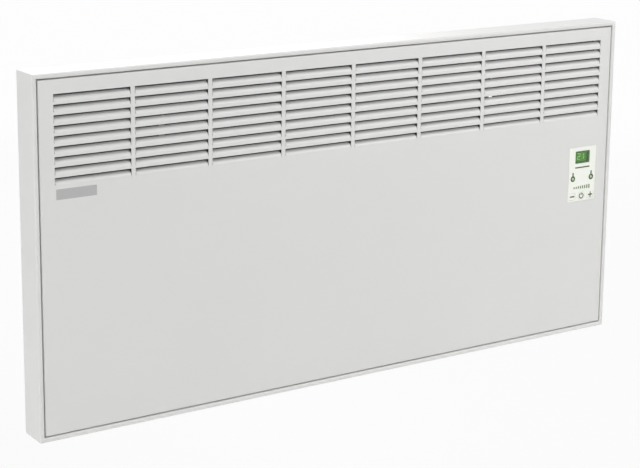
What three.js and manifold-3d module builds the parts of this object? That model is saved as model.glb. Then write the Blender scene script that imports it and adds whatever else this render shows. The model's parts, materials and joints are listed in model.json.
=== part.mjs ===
// A wall-hung panel convector heater: a shallow steel case behind a louvred front panel, with an
// X-section heating element low in the case and a digital thermostat behind the right-hand edge.
//
// Millimetres, +Z up. The wall is the plane y = 0 and the heater hangs in front of it, towards -y.
// The origin is the middle of the wall rail's back face. Pieces that stand on each other keep a
// gap of `seat`, and pieces that move past each other keep a clearance of their own.

import * as THREE from 'three';
import { mergeVertices } from 'three/addons/utils/BufferGeometryUtils.js';
import Module from 'manifold-3d';

const wasm = await Module();
wasm.setup();

// ---- Case -------------------------------------------------------------------------------------

const caseWidth = 900;
const caseHeight = 450;
const caseDepth = 44;
const wallGap = 16; // air space between the wall and the back of the case
const caseSheet = 1; // thickness of the steel of the case
const caseBend = 1.5; // bend radius at the middle of that sheet
const rimWidth = 6; // rim round the front panel, as seen from the front
const rimReturn = 10; // depth of the fold behind the rim
const seatLip = 6; // lip at the end of that fold, which carries the front panel
const backFlange = 14; // fold round the back of the case, which carries the back panel
const seat = 0.3; // gap left between pieces that rest on each other
const lap = 1; // how far two parts of one piece run into each other before they are joined
const through = 1; // how far a cutting body runs past what it cuts

// ---- Air inlet in the floor of the case -------------------------------------------------------

const inletPitch = 25;
const inletWidth = 6;
const inletLength = 22;
const inletMargin = 40; // plain floor at each end of the row of inlets
const inletSetback = 7; // from the back of the case to the inlets

// ---- Front panel and its louvres --------------------------------------------------------------

const panelSheet = 1;
const panelRecess = 0.6; // how far the panel lies behind the rim
const panelGap = 1.6; // shadow gap between panel and rim
const louvreRows = 9;
const louvreLength = 101;
const louvreDivider = 5.5; // plain strip between two columns
const louvreMargin = 15; // least plain strip at each end of the rows, which sets how many columns fit
const louvrePitch = 12.5;
const louvreHeight = 6.5; // height of the cut that a blade is pressed from
const louvreDepth = 6; // how far a blade's free edge lies behind the panel
const louvreSlit = 1.8; // open height over the blade's free edge
const louvreEndGap = 0.4; // sheared gap at each end of a blade
const louvreTop = 25; // from the top of the case to the first cut
const bladeBend = 2.6; // bend radius at a blade's root
const bladeRoot = 1.2; // how far a blade's root reaches down into the plain strip

// ---- Spring clips that hold the front panel ---------------------------------------------------

const clipSheet = 0.6;
const clipWidth = 20;
const clipLeg = 6;
const clipInset = 150; // from the side of the case to the middle of a clip

// ---- Back panel -------------------------------------------------------------------------------

const backSheet = 1;
const backClearance = 0.6; // round the edge of the back panel
const ribLength = 300;
const ribWidth = 16;
const ribHeight = 1.2;
const ribSpacing = 120; // between the middles of the two ribs
const ribDrop = 21.25; // from the middle of the case to the middle between the ribs
const screwShank = 1.6; // radius
const screwTip = 1; // radius
const screwHead = 3.4; // radius
const screwCrown = 2; // radius of the flat on top of the head
const screwHeadHeight = 2.2;
const screwLength = 7;
const screwColumns = 3;

// ---- Wall rail and bumpers --------------------------------------------------------------------

const railLength = 520;
const railHeight = 46;
const railSheet = 2;
const railDepth = 14;
const railBend = 2.5;
const railDrop = 85; // from the top of the case to the middle of the rail
const railHoleSpacing = 400;
const railHoleRadius = 3;
const keyholeRadius = 5.5;
const keyholeDrop = 9;
const hookNeck = 9; // height of the neck that passes through the back panel
const hookTongue = 10; // height of the tongue in front of it
const hookTongueDepth = 3;
const hookClearance = 0.7; // between the back panel and the tongue
const hookSlotPlay = 3; // on each side of a hook in its slot
const hookSlotSpare = 1; // slot left under the hook when the heater is lifted
const liftTravel = 14;
const bumperRadius = 9;
const bumperStem = 3; // radius
const bumperBarb = 1.2; // how far the head stands out round the stem
const bumperHead = 2; // height of the head that buttons through the back panel
const bumperChamfer = 1;
const bumperInset = 110; // from the side of the case
const bumperRise = 26; // from the floor of the case

// ---- Heating element --------------------------------------------------------------------------

const elementFromLeft = 60; // from the left side of the case to the fins
const elementFromRight = 140; // and from the right side, where the thermostat and the supply are
const elementRise = 112; // from the floor of the case to the element's axis
const tubeRadius = 6;
const tubeStub = 22; // bare tube at each end of the fins
const finThickness = 1.2;
const finSpread = 11; // front-to-back reach of a fin's edge
const finReach = 24; // up-and-down reach of a fin's edge
const finSlitPitch = 30;
const finSlitWidth = 2.4;
const finSlitDepth = 13;

// ---- Reflector, element brackets and bushes ---------------------------------------------------

const reflectorSheet = 0.8;
const reflectorStandoff = 8; // between the back panel and the reflector's plate
const reflectorFlange = 12;
const reflectorMargin = 34; // how far the plate runs past the fins, above and below
const reflectorOverhang = 36; // and past the fins at each end
const bracketSheet = 1.2;
const bracketHalfHeight = 15;
const bracketFront = 11; // plate in front of the element's axis
const bracketFoot = 12;
const bushHoleRadius = 8.5;
const bushClearance = 0.3;
const bushFlangeRadius = 10;
const bushFlange = 1.5;

// ---- Terminals, limiter and room sensor -------------------------------------------------------

const beadRadius = 4.5;
const beadLength = 9;
const beadShoulder = 5.4; // where the bead starts to taper
const beadTip = 3.15; // radius
const pinRadius = 1.5;
const pinLength = 12;
const spadeLength = 8;
const spadeWidth = 6.3;
const spadeThickness = 0.8;
const limiterRadius = 8;
const limiterBody = 7;
const limiterFlangeRadius = 11;
const limiterFlange = 1.2;
const limiterDome = 1.5; // rounding of the front of its body
const limiterBladeX = 10; // from the limiter's axis to the middle of a blade
const limiterBladeLength = 6;
const limiterFromEnd = 150; // from the right-hand end of the fins
const limiterRise = 44; // above the element's axis
const bridgeHeight = 5; // of the limiter's bridge above the reflector
const bridgeWidth = 20;
const bridgeSpan = 26;
const bridgeFoot = 9;
const sensorRadius = 2.2;
const sensorLength = 24;
const sensorWall = 2;
const sensorTip = 2; // length of the rounded end
const sensorFromGland = 33;

// ---- Thermostat: fascia, window, keys ---------------------------------------------------------

const fasciaWidth = 50;
const fasciaHeight = 79;
const fasciaProud = 0.2;
const fasciaGap = 0.3;
const fasciaDrop = 45; // from the lowest louvre to the fascia's top
const fasciaFromRight = 26.75; // from the side of the case to the fascia, in line with the louvres' end
const fasciaCorner = 2;
const fasciaFlange = 1.5;
const windowWidth = 27;
const windowHeight = 18;
const windowDrop = 6; // from the fascia's top
const windowFlange = 1.5;
const moduleMargin = 2.5; // how far the display runs past its window
const moduleCorner = 1;
const keyPitch = 17;
const keyWidth = 12;
const keyHeight = 10;
const keyCorner = 3.5;
const keyRise = 7.4; // from the fascia's bottom to the keys' middle
const keyClearance = 0.35;
const keyTravel = 0.5;
const keyPlay = 0.2; // left between a pressed key and its switch
const keyFlange = 1;
const keyFlangeReach = 1.2;
const stemRadius = 1.6;
const stemEntry = 1.5; // how deep a key's stem stands in its switch
const indicatorRadius = 1.5;
const indicatorDrop = 45.5; // from the fascia's top
const indicatorFlange = 1;

// ---- Thermostat: housing and boards -----------------------------------------------------------

const housingMargin = 7; // housing and fascia flange beyond the fascia's face
const housingWall = 1.8;
const housingCorner = 3;
const postSize = 6;
const boardThickness = 1.6;
const boardClearance = 0.5;
const switchSize = 6.2;
const switchDepth = 3.6;
const switchBoreClearance = 0.4;
const relayWidth = 13;
const relayLength = 29;
const relayDepth = 15;
const relayCorner = 0.8;
const coreWidth = 22; // the transformer's laminated core
const coreLength = 20;
const coreDepth = 9;
const coreRise = 3; // of the core above the board
const bobbinDepth = 14;
const bobbinWidth = 15;
const bobbinLength = 26;
const bobbinCorner = 3;
const capacitorRadius = 4;
const capacitorHeight = 12;
const capacitorCrimp = 0.6;
const componentSpace = 3; // free space in front of the power board's components
const componentMargin = 4; // from a component to the side of its board
const coverThickness = 1.6;
const coverGap = 2.4; // between the power board and the cover
const coverVents = 5;
const coverVentPitch = 11.6;
const coverVentWidth = 3;
const earWidth = 14;
const earHeight = 11;
const earThickness = 3;
const studRadius = 2;
const studTip = 1; // how far a stud stands out of its nut
const studClearance = 0.4;
const nutRadius = 4;
const nutHeight = 3.2;

// ---- Supply -----------------------------------------------------------------------------------

const terminalRise = 92; // from the floor of the case to the terminal block
const terminalWays = 3;
const terminalPitch = 11;
const terminalHeight = 20;
const terminalDepth = 15;
const terminalShoulder = 9; // depth of the block where its sloping faces start
const terminalNose = 10; // height of its front face
const terminalWell = 3.3; // radius of a screw well
const glandRise = 36; // from the floor of the case to the gland
const glandRadius = 8;
const glandFlangeRadius = 11;
const glandBore = 4;
const glandClearance = 0.4;
const glandThread = 9; // how far its thread stands out inside the back panel
const glandFlange = 2.5;
const glandNose = 7; // how far it stands out behind the back panel
const glandNutHeight = 5;
const glandNutRadius = 12; // to its corners
const leadRadius = 1.4;
const leadTail = 8; // straight end of a lead at its terminal
const leadRun = 12; // how far a lead runs straight out of the housing or the terminal block
const leadSpacing = 4; // from a lead in the housing to the middle of its notch
const leadSlack = 60; // how far a lead takes to come down to its level
const leadRise = 14; // of the long lead above the limiter

// ---- Places that follow from the sizes above ----------------------------------------------------

const halfWidth = caseWidth / 2;
const halfHeight = caseHeight / 2;
const caseBack = -wallGap;
const caseFront = caseBack - caseDepth;
const lipFront = caseFront + rimReturn - caseSheet;
const panelFront = caseFront + panelRecess;
const panelBack = panelFront + panelSheet;
const panelInset = rimWidth + panelGap;
const panelReturnEnd = lipFront - seat;
const backPanelRear = caseBack - caseSheet - seat;
const backPanelFront = backPanelRear - backSheet;

const louvreSpace = caseWidth - 2 * (panelInset + louvreMargin);
const columnPitch = louvreLength + louvreDivider;
const louvreColumns = Math.floor((louvreSpace + louvreDivider) / columnPitch);
const louvreBlock = louvreColumns * columnPitch - louvreDivider;
const firstCut = halfHeight - louvreTop;
const lowestCut = firstCut - (louvreRows - 1) * louvrePitch - louvreHeight;

const controlX = halfWidth - fasciaFromRight - fasciaWidth / 2;
const controlZ = lowestCut - fasciaDrop - fasciaHeight / 2;
const railZ = halfHeight - railDrop;

const reflectorRear = backPanelFront - reflectorStandoff;
const reflectorFront = reflectorRear - reflectorSheet;
const elementLength = caseWidth - elementFromLeft - elementFromRight;
const elementX = (elementFromLeft - elementFromRight) / 2;
const elementY = (panelBack + reflectorFront) / 2;
const elementZ = -halfHeight + elementRise;

// ---- Finishes -----------------------------------------------------------------------------------

const finishes = {
  powderCoat: { color: 0xe4e4e2, roughness: 0.45, metalness: 0 },
  galvanised: { color: 0xb9bdbf, roughness: 0.42, metalness: 0.9 },
  aluminium: { color: 0xc9cbcc, roughness: 0.38, metalness: 0.95 },
  zincPlated: { color: 0xb4b7b8, roughness: 0.35, metalness: 0.9 },
  springSteel: { color: 0x6f7375, roughness: 0.4, metalness: 0.9 },
  ceramic: { color: 0xefeae0, roughness: 0.5, metalness: 0 },
  silicone: { color: 0x9c4a35, roughness: 0.6, metalness: 0 },
  blackPlastic: { color: 0x26282a, roughness: 0.55, metalness: 0 },
  greyPlastic: { color: 0x8f9294, roughness: 0.55, metalness: 0 },
  whitePlastic: { color: 0xf7f9f3, roughness: 0.35, metalness: 0 },
  clearPlastic: { color: 0x4f7f3c, roughness: 0.12, metalness: 0 },
  displayGlass: { color: 0x5f9a3c, roughness: 0.2, metalness: 0 },
  indicator: { color: 0xdfeccb, roughness: 0.25, metalness: 0 },
  circuitBoard: { color: 0x1f5c3a, roughness: 0.5, metalness: 0 },
  rubber: { color: 0x2b2b2b, roughness: 0.85, metalness: 0 },
  capacitorSleeve: { color: 0x2f4f86, roughness: 0.4, metalness: 0 },
  whiteInsulation: { color: 0xeceae4, roughness: 0.6, metalness: 0 },
  brownInsulation: { color: 0x6b4630, roughness: 0.6, metalness: 0 },
  blueInsulation: { color: 0x3b62a0, roughness: 0.6, metalness: 0 },
};

// ---- Solids -------------------------------------------------------------------------------------

// Welds a closed geometry's vertices and turns it into a solid with its faces pointing out.
function solidOf(geometry) {
  const bare = geometry.clone();
  bare.deleteAttribute('normal');
  bare.deleteAttribute('uv');
  const welded = mergeVertices(bare, 1e-4);
  const position = welded.getAttribute('position');
  const corner = [new THREE.Vector3(), new THREE.Vector3(), new THREE.Vector3()];
  const faces = [];
  let volume = 0;
  for (let i = 0; i < welded.index.count; i += 3) {
    const face = [0, 1, 2].map((k) => welded.index.getX(i + k));
    if (new Set(face).size < 3) continue;
    face.forEach((vertex, k) => corner[k].fromBufferAttribute(position, vertex));
    volume += corner[0].dot(corner[1].clone().cross(corner[2]));
    faces.push(face);
  }
  if (volume < 0) faces.forEach((face) => face.reverse());
  return new wasm.Manifold(new wasm.Mesh({
    numProp: 3,
    vertProperties: Float32Array.from(position.array),
    triVerts: Uint32Array.from(faces.flat()),
  }));
}

const join = (...solids) => solids.reduce((sum, next) => sum.add(next));
const cut = (body, ...tools) => tools.reduce((rest, tool) => rest.subtract(tool), body);

// A prism along one axis, from start to end. Its outline and holes are lists of points across that
// axis: (y, z) along x, (x, z) along y, and (x, y) along z.
const prismAxes = {
  x: [new THREE.Vector3(0, 1, 0), new THREE.Vector3(0, 0, 1), new THREE.Vector3(1, 0, 0)],
  y: [new THREE.Vector3(1, 0, 0), new THREE.Vector3(0, 0, 1), new THREE.Vector3(0, -1, 0)],
  z: [new THREE.Vector3(1, 0, 0), new THREE.Vector3(0, 1, 0), new THREE.Vector3(0, 0, 1)],
};

function prism(axis, outline, start, end, holes = []) {
  const shape = new THREE.Shape(outline.map(([u, v]) => new THREE.Vector2(u, v)));
  const geometry = new THREE.ExtrudeGeometry(shape, { depth: end - start, bevelEnabled: false });
  const [u, v, w] = prismAxes[axis];
  geometry.applyMatrix4(new THREE.Matrix4().makeBasis(u, v, w));
  const along = w.clone().multiplyScalar(axis === 'y' ? -end : start);
  geometry.translate(along.x, along.y, along.z);
  const cutters = holes.map((hole) => prism(axis, hole, start - through, end + through));
  return cut(solidOf(geometry), ...cutters);
}

function block(x0, x1, y0, y1, z0, z1) {
  const geometry = new THREE.BoxGeometry(x1 - x0, y1 - y0, z1 - z0);
  geometry.translate((x0 + x1) / 2, (y0 + y1) / 2, (z0 + z1) / 2);
  return solidOf(geometry);
}

// A body turned about a line along x, y or z. Its profile lists (radius, distance along the line).
function turned(axis, profile, sides = 24) {
  const geometry = new THREE.LatheGeometry(profile.map(([r, a]) => new THREE.Vector2(r, a)), sides);
  if (axis === 'x') geometry.rotateZ(-Math.PI / 2);
  if (axis === 'z') geometry.rotateX(Math.PI / 2);
  return solidOf(geometry);
}

const rod = (axis, radius, start, end, sides = 24) =>
  turned(axis, [[0, start], [radius, start], [radius, end], [0, end]], sides);

const moved = (body, x, y, z) => body.translate([x, y, z]);

// ---- Outlines -----------------------------------------------------------------------------------

function rectangle(u, v, width, height) {
  return [[-1, -1], [1, -1], [1, 1], [-1, 1]].map(([a, b]) => [u + (a * width) / 2, v + (b * height) / 2]);
}

function roundedRectangle(u, v, width, height, radius, steps = 2) {
  const points = [];
  for (let corner = 0; corner < 4; corner += 1) {
    const signU = corner === 0 || corner === 3 ? 1 : -1;
    const signV = corner < 2 ? 1 : -1;
    for (let step = 0; step <= steps; step += 1) {
      const angle = (corner + step / steps) * (Math.PI / 2);
      points.push([
        u + signU * (width / 2 - radius) + radius * Math.cos(angle),
        v + signV * (height / 2 - radius) + radius * Math.sin(angle),
      ]);
    }
  }
  return points;
}

function circle(u, v, radius, sides = 16) {
  return Array.from({ length: sides }, (_, i) => {
    const angle = (2 * Math.PI * (i + 0.5)) / sides;
    return [u + radius * Math.cos(angle), v + radius * Math.sin(angle)];
  });
}

// The outline of a folded sheet. The path is the sheet's middle line, given by its corners, and
// each inner corner gets a bend of the given radius.
function folded(path, thickness, bend, steps = 2) {
  const corners = path.map(([u, v]) => new THREE.Vector2(u, v));
  const middle = [];
  corners.forEach((corner, i) => {
    const before = corners[i - 1];
    const after = corners[i + 1];
    if (!before || !after) {
      const along = before ? corner.clone().sub(before) : after.clone().sub(corner);
      middle.push([corner, along.normalize()]);
      return;
    }
    const inward = corner.clone().sub(before).normalize();
    const outward = after.clone().sub(corner).normalize();
    const turn = Math.atan2(inward.cross(outward), inward.dot(outward));
    const start = corner.clone().addScaledVector(inward, -bend * Math.tan(Math.abs(turn) / 2));
    const side = new THREE.Vector2(-inward.y, inward.x).multiplyScalar(Math.sign(turn));
    const centre = start.clone().addScaledVector(side, bend);
    for (let step = 0; step <= steps; step += 1) {
      const angle = (turn * step) / steps;
      const point = start.clone().rotateAround(centre, angle);
      middle.push([point, inward.clone().rotateAround(new THREE.Vector2(), angle)]);
    }
  });
  const offset = (sign) => middle.map(([point, along]) => [
    point.x - sign * along.y * (thickness / 2),
    point.y + sign * along.x * (thickness / 2),
  ]);
  return [...offset(1), ...offset(-1).reverse()];
}

// A frame with mitred corners round a rectangle in the x-z plane. Its section lists (inset, y),
// where inset is the distance in from the rectangle's edge.
function mitredFrame(section, width, height) {
  const corners = [[-1, -1], [1, -1], [1, 1], [-1, 1]];
  const positions = corners.flatMap(([signX, signZ]) => section.flatMap(([inset, y]) => [
    signX * (width / 2 - inset),
    y,
    signZ * (height / 2 - inset),
  ]));
  const count = section.length;
  const faces = [];
  for (let side = 0; side < 4; side += 1) {
    for (let i = 0; i < count; i += 1) {
      const here = side * count;
      const next = ((side + 1) % 4) * count;
      const after = (i + 1) % count;
      faces.push(here + i, next + i, next + after, here + i, next + after, here + after);
    }
  }
  const geometry = new THREE.BufferGeometry();
  geometry.setAttribute('position', new THREE.Float32BufferAttribute(positions, 3));
  geometry.setIndex(faces);
  return solidOf(geometry);
}

// ---- Case pieces --------------------------------------------------------------------------------

// The places of the screws that hold the back panel to the case, in x and z.
const screwInset = (backFlange + caseSheet) / 2;
const screwSpan = caseWidth - 2 * clipInset;
const screwPlaces = Array.from({ length: screwColumns }, (_, i) => {
  const x = (i / (screwColumns - 1) - 0.5) * screwSpan;
  return [[x, halfHeight - screwInset], [x, -halfHeight + screwInset]];
}).flat();

function caseFrame() {
  const half = caseSheet / 2;
  const section = folded([
    [backFlange, caseBack - half],
    [half, caseBack - half],
    [half, caseFront + half],
    [rimWidth - half, caseFront + half],
    [rimWidth - half, caseFront + rimReturn - half],
    [rimWidth + seatLip, caseFront + rimReturn - half],
  ], caseSheet, caseBend);
  const frame = mitredFrame(section, caseWidth, caseHeight);
  const inletCount = Math.floor((caseWidth - 2 * inletMargin) / inletPitch) + 1;
  const inletY = caseBack - inletSetback - inletLength / 2;
  const inlet = prism(
    'z',
    roundedRectangle(0, inletY, inletWidth, inletLength, inletWidth / 2),
    -halfHeight - caseSheet,
    -halfHeight + 2 * caseSheet,
  );
  const inlets = Array.from({ length: inletCount }, (_, i) =>
    moved(inlet, (i - (inletCount - 1) / 2) * inletPitch, 0, 0));
  const screwHoles = screwPlaces.map(([x, z]) =>
    moved(rod('y', screwShank + seat, caseBack - 2 * caseSheet, caseBack + caseSheet, 8), x, 0, z));
  return cut(frame, ...inlets, ...screwHoles);
}

// One pressed blade: a strip that leaves the sheet at the cut's lower edge and leans inwards.
function louvreBlade() {
  const half = panelSheet / 2;
  const section = folded([
    [panelFront + half, -bladeRoot],
    [panelFront + half, bladeRoot],
    [panelFront + louvreDepth, louvreHeight - louvreSlit],
  ], panelSheet, bladeBend, 2);
  return prism('x', section, louvreEndGap, louvreLength - louvreEndGap);
}

const louvrePlaces = Array.from({ length: louvreColumns * louvreRows }, (_, i) => {
  const column = i % louvreColumns;
  const row = Math.floor(i / louvreColumns);
  return [
    -louvreBlock / 2 + column * columnPitch,
    firstCut - row * louvrePitch - louvreHeight,
  ];
});

const housingHeight = fasciaHeight + 2 * housingMargin;
const housingWidth = fasciaWidth + 2 * housingMargin;
const studPlaces = [1, -1].map((sign) => [controlX, controlZ + sign * (housingHeight + earHeight) / 2]);
const studEnd = panelSheet + seat + fasciaFlange + seat + earThickness + seat + nutHeight + studTip;

function frontPanel() {
  const half = panelSheet / 2;
  const flatInset = panelInset + caseBend + panelSheet;
  const edge = mitredFrame(folded([
    [flatInset + lap, panelFront + half],
    [panelInset + half, panelFront + half],
    [panelInset + half, panelReturnEnd],
  ], panelSheet, caseBend), caseWidth, caseHeight);
  const window = prism('y', roundedRectangle(
    controlX,
    controlZ,
    fasciaWidth + 2 * fasciaGap,
    fasciaHeight + 2 * fasciaGap,
    fasciaCorner + fasciaGap,
  ), panelFront - panelSheet, panelBack + panelSheet);
  const cuts = louvrePlaces.map(([x, z]) =>
    block(x, x + louvreLength, panelFront - panelSheet, panelBack + panelSheet, z, z + louvreHeight));
  const outline = rectangle(0, 0, caseWidth - 2 * flatInset, caseHeight - 2 * flatInset);
  const flat = cut(prism('y', outline, panelFront, panelBack), window, ...cuts);
  const blade = louvreBlade();
  const blades = louvrePlaces.map(([x, z]) => moved(blade, x, 0, z));
  const studs = studPlaces.map(([x, z]) =>
    moved(rod('y', studRadius, panelFront + half, panelFront + studEnd, 12), x, 0, z));
  return join(edge, flat, ...blades, ...studs);
}

// A spring clip: it grips the case's lip and presses on the inside of the panel's edge.
function panelClip() {
  const half = clipSheet / 2;
  const leg = panelInset + panelSheet + seat + half;
  const lipEnd = rimWidth + seatLip + seat + half;
  const section = folded([
    [leg, lipFront - seat - clipLeg],
    [leg, lipFront - seat - half],
    [lipEnd, lipFront - seat - half],
    [lipEnd, lipFront + caseSheet + seat + half],
    [rimWidth + seatLip - clipLeg / 2, lipFront + caseSheet + seat + half],
  ], clipSheet, clipSheet, 2);
  return prism('x', section.map(([inset, y]) => [y, -inset]), -clipWidth / 2, clipWidth / 2);
}

const hookSlotWidth = railSheet + 2 * hookSlotPlay;
const tongueTop = hookNeck / 2 + hookTongue;
const slotBottom = -hookNeck / 2 - liftTravel - hookSlotSpare;
const slotTop = hookNeck / 2 + seat;
const hookX = railLength / 2 - railSheet / 2;
const supplyX = controlX;
const glandZ = -halfHeight + glandRise;
const terminalZ = -halfHeight + terminalRise;
const bumperPlaces = [-1, 1].map((sign) => [sign * (halfWidth - bumperInset), -halfHeight + bumperRise]);

function backPanel() {
  const width = caseWidth - 2 * (caseSheet + backClearance);
  const height = caseHeight - 2 * (caseSheet + backClearance);
  const slots = [-1, 1].map((sign) =>
    rectangle(sign * hookX, railZ + (slotTop + slotBottom) / 2, hookSlotWidth, slotTop - slotBottom));
  const holes = [
    ...slots,
    circle(supplyX, glandZ, glandRadius + glandClearance),
    ...bumperPlaces.map(([x, z]) => circle(x, z, bumperStem + seat, 12)),
    ...screwPlaces.map(([x, z]) => circle(x, z, screwShank + seat, 8)),
  ];
  const plate = prism('y', rectangle(0, 0, width, height), backPanelFront, backPanelRear, holes);
  const ribs = [-1, 1].map((sign) => {
    const outline = (shrink) => roundedRectangle(
      0,
      (sign * ribSpacing) / 2 - ribDrop,
      ribLength - shrink,
      ribWidth - shrink,
      (ribWidth - shrink) / 2,
      4,
    );
    return {
      bulge: prism('y', outline(0), backPanelFront + backSheet / 2, backPanelRear + ribHeight),
      hollow: prism('y', outline(2 * backSheet), backPanelFront - backSheet, backPanelFront + ribHeight),
    };
  });
  return cut(join(plate, ...ribs.map((rib) => rib.bulge)), ...ribs.map((rib) => rib.hollow));
}

function backScrew() {
  const underHead = caseBack + seat;
  return turned('y', [
    [0, underHead - screwLength],
    [screwTip, underHead - screwLength],
    [screwShank, underHead - screwLength + screwShank],
    [screwShank, underHead],
    [screwHead, underHead],
    [screwHead, underHead + screwHeadHeight / 2],
    [screwCrown, underHead + screwHeadHeight],
    [0, underHead + screwHeadHeight],
  ], 8);
}

// ---- Wall rail ----------------------------------------------------------------------------------

// A sheet folded forward at both ends. Each end carries a hook that passes through the back panel.
function wallRail() {
  const half = railSheet / 2;
  const section = folded([
    [-hookX, -railDepth],
    [-hookX, -half],
    [hookX, -half],
    [hookX, -railDepth],
  ], railSheet, railBend);
  const rail = prism('z', section, -railHeight / 2, railHeight / 2);
  const tongueBack = backPanelFront - hookClearance;
  const hookOutline = [
    [-railDepth + railSheet, -hookNeck / 2],
    [tongueBack - hookTongueDepth, -hookNeck / 2],
    [tongueBack - hookTongueDepth, tongueTop - hookTongueDepth / 2],
    [tongueBack - hookTongueDepth / 2, tongueTop],
    [tongueBack, tongueTop],
    [tongueBack, hookNeck / 2],
    [-railDepth + railSheet, hookNeck / 2],
  ];
  const hooks = [-1, 1].map((sign) =>
    prism('x', hookOutline, sign * hookX - half, sign * hookX + half));
  const holes = [-1, 1].flatMap((sign) => {
    const x = (sign * railHoleSpacing) / 2;
    const top = keyholeDrop / 2;
    return [
      moved(rod('y', railHoleRadius, -2 * railSheet, railSheet, 16), x, 0, top),
      block(x - railHoleRadius, x + railHoleRadius, -2 * railSheet, railSheet, -top, top),
      moved(rod('y', keyholeRadius, -2 * railSheet, railSheet, 16), x, 0, -top),
    ];
  });
  return cut(join(rail, ...hooks), ...holes);
}

// A rubber bumper: its stem buttons through the back panel and its pad meets the wall.
function wallBumper() {
  const padFront = backPanelRear + seat;
  const headRear = backPanelFront - seat;
  return turned('y', [
    [0, headRear - bumperHead],
    [bumperStem, headRear - bumperHead],
    [bumperStem + bumperBarb, headRear],
    [bumperStem, headRear],
    [bumperStem, padFront],
    [bumperRadius, padFront],
    [bumperRadius - bumperChamfer, -bumperChamfer],
    [bumperRadius - 2 * bumperChamfer, 0],
    [0, 0],
  ], 14);
}

// ---- Heating element and what carries it --------------------------------------------------------

// The element's own frame: x along the tube, with the origin in the middle of the fins.
const finTip = Math.hypot(finSpread, finReach);
const tubeEnd = elementLength / 2 + tubeStub;

// One fin: a plate from the tube to its tip, slit from the tip inwards along its whole length.
function slitFin() {
  const slitCount = Math.floor((elementLength - finSlitPitch) / finSlitPitch);
  const root = finTip - finSlitDepth;
  const outline = [[elementLength / 2, tubeRadius / 2], [elementLength / 2, finTip]];
  for (let i = 0; i < slitCount; i += 1) {
    const x = ((slitCount - 1) / 2 - i) * finSlitPitch;
    outline.push(
      [x + finSlitWidth / 2, finTip],
      [x + finSlitWidth / 2, root],
      [x - finSlitWidth / 2, root],
      [x - finSlitWidth / 2, finTip],
    );
  }
  outline.push([-elementLength / 2, finTip], [-elementLength / 2, tubeRadius / 2]);
  return prism('z', outline, -finThickness / 2, finThickness / 2);
}

function heatingElement() {
  const lean = THREE.MathUtils.radToDeg(Math.atan2(finReach, finSpread));
  const fin = slitFin();
  const fins = [lean, 180 - lean, 180 + lean, 360 - lean].map((angle) => fin.rotate([angle, 0, 0]));
  return join(rod('x', tubeRadius, -tubeEnd, tubeEnd, 16), ...fins);
}

// The reflector is a shallow tray on the back panel. It keeps the heat off the wall.
function reflector() {
  const half = reflectorSheet / 2;
  const plate = reflectorRear - elementY - half;
  const foot = backPanelFront - seat - elementY - half;
  const reach = finReach + reflectorMargin;
  const section = folded([
    [foot, reach + reflectorStandoff + reflectorFlange],
    [foot, reach + reflectorStandoff],
    [plate, reach],
    [plate, -reach],
    [foot, -reach - reflectorStandoff],
    [foot, -reach - reflectorStandoff - reflectorFlange],
  ], reflectorSheet, reflectorSheet * 2);
  const end = elementLength / 2 + reflectorOverhang;
  return prism('x', section, -end, end);
}

const bracketX = elementLength / 2 + tubeStub / 2;
const bracketBack = reflectorFront - seat - elementY;

// A bracket stands on the reflector and holds the tube in a hole. Its foot points along +x.
function elementBracket() {
  const half = bracketSheet / 2;
  const section = folded([
    [0, -bracketFront],
    [0, bracketBack - half],
    [bracketFoot, bracketBack - half],
  ], bracketSheet, bracketSheet);
  return cut(
    prism('z', section, -bracketHalfHeight, bracketHalfHeight),
    rod('x', bushHoleRadius, -bracketSheet, bracketSheet),
  );
}

// A mica bush: a grooved ring that sits in the bracket's hole, round the tube.
function elementBush() {
  const inner = tubeRadius + bushClearance;
  const groove = bushHoleRadius - bushClearance;
  const face = bracketSheet / 2 + bushClearance;
  const end = face + bushFlange;
  return turned('x', [
    [inner, -end], [bushFlangeRadius, -end], [bushFlangeRadius, -face], [groove, -face],
    [groove, face], [bushFlangeRadius, face], [bushFlangeRadius, end], [inner, end], [inner, -end],
  ], 12);
}

// The terminal at the element's end, along +x from the end of the tube.
const terminalBead = () => turned('x', [
  [pinRadius + seat, seat], [beadRadius, seat], [beadRadius, beadShoulder],
  [beadTip, beadLength], [pinRadius + seat, beadLength], [pinRadius + seat, seat],
], 12);

const terminalPin = () => join(
  rod('x', pinRadius, seat, pinLength, 10),
  block(
    pinLength - lap,
    pinLength + spadeLength,
    -spadeThickness / 2,
    spadeThickness / 2,
    -spadeWidth / 2,
    spadeWidth / 2,
  ),
);

const bridgeTop = bracketBack - bridgeHeight;

// The limiter's bridge is a small hat section on the reflector.
function limiterBridge() {
  const half = bracketSheet / 2;
  const side = bridgeSpan / 2;
  const section = folded([
    [-side - bridgeFoot, bracketBack - half],
    [-side, bracketBack - half],
    [-side, bridgeTop - half],
    [side, bridgeTop - half],
    [side, bracketBack - half],
    [side + bridgeFoot, bracketBack - half],
  ], bracketSheet, bracketSheet, 2);
  return prism('z', section, -bridgeWidth / 2, bridgeWidth / 2);
}

// A disc limiter: metal cap, flange and body, with two blade terminals.
function limiterDisc() {
  const base = bridgeTop - bracketSheet - seat;
  const disc = turned('y', [
    [0, base], [limiterFlangeRadius, base], [limiterFlangeRadius, base - limiterFlange],
    [limiterRadius, base - limiterFlange], [limiterRadius, base - limiterBody],
    [limiterRadius - limiterDome, base - limiterBody - limiterDome], [0, base - limiterBody - limiterDome],
  ], 20);
  const blades = [-1, 1].map((sign) => block(
    sign * limiterBladeX - limiterBladeLength / 2,
    sign * limiterBladeX + limiterBladeLength / 2,
    base - limiterBody,
    base - limiterBody + spadeThickness,
    -spadeWidth / 2,
    spadeWidth / 2,
  ));
  return join(disc, ...blades);
}

// ---- Thermostat ---------------------------------------------------------------------------------

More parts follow.
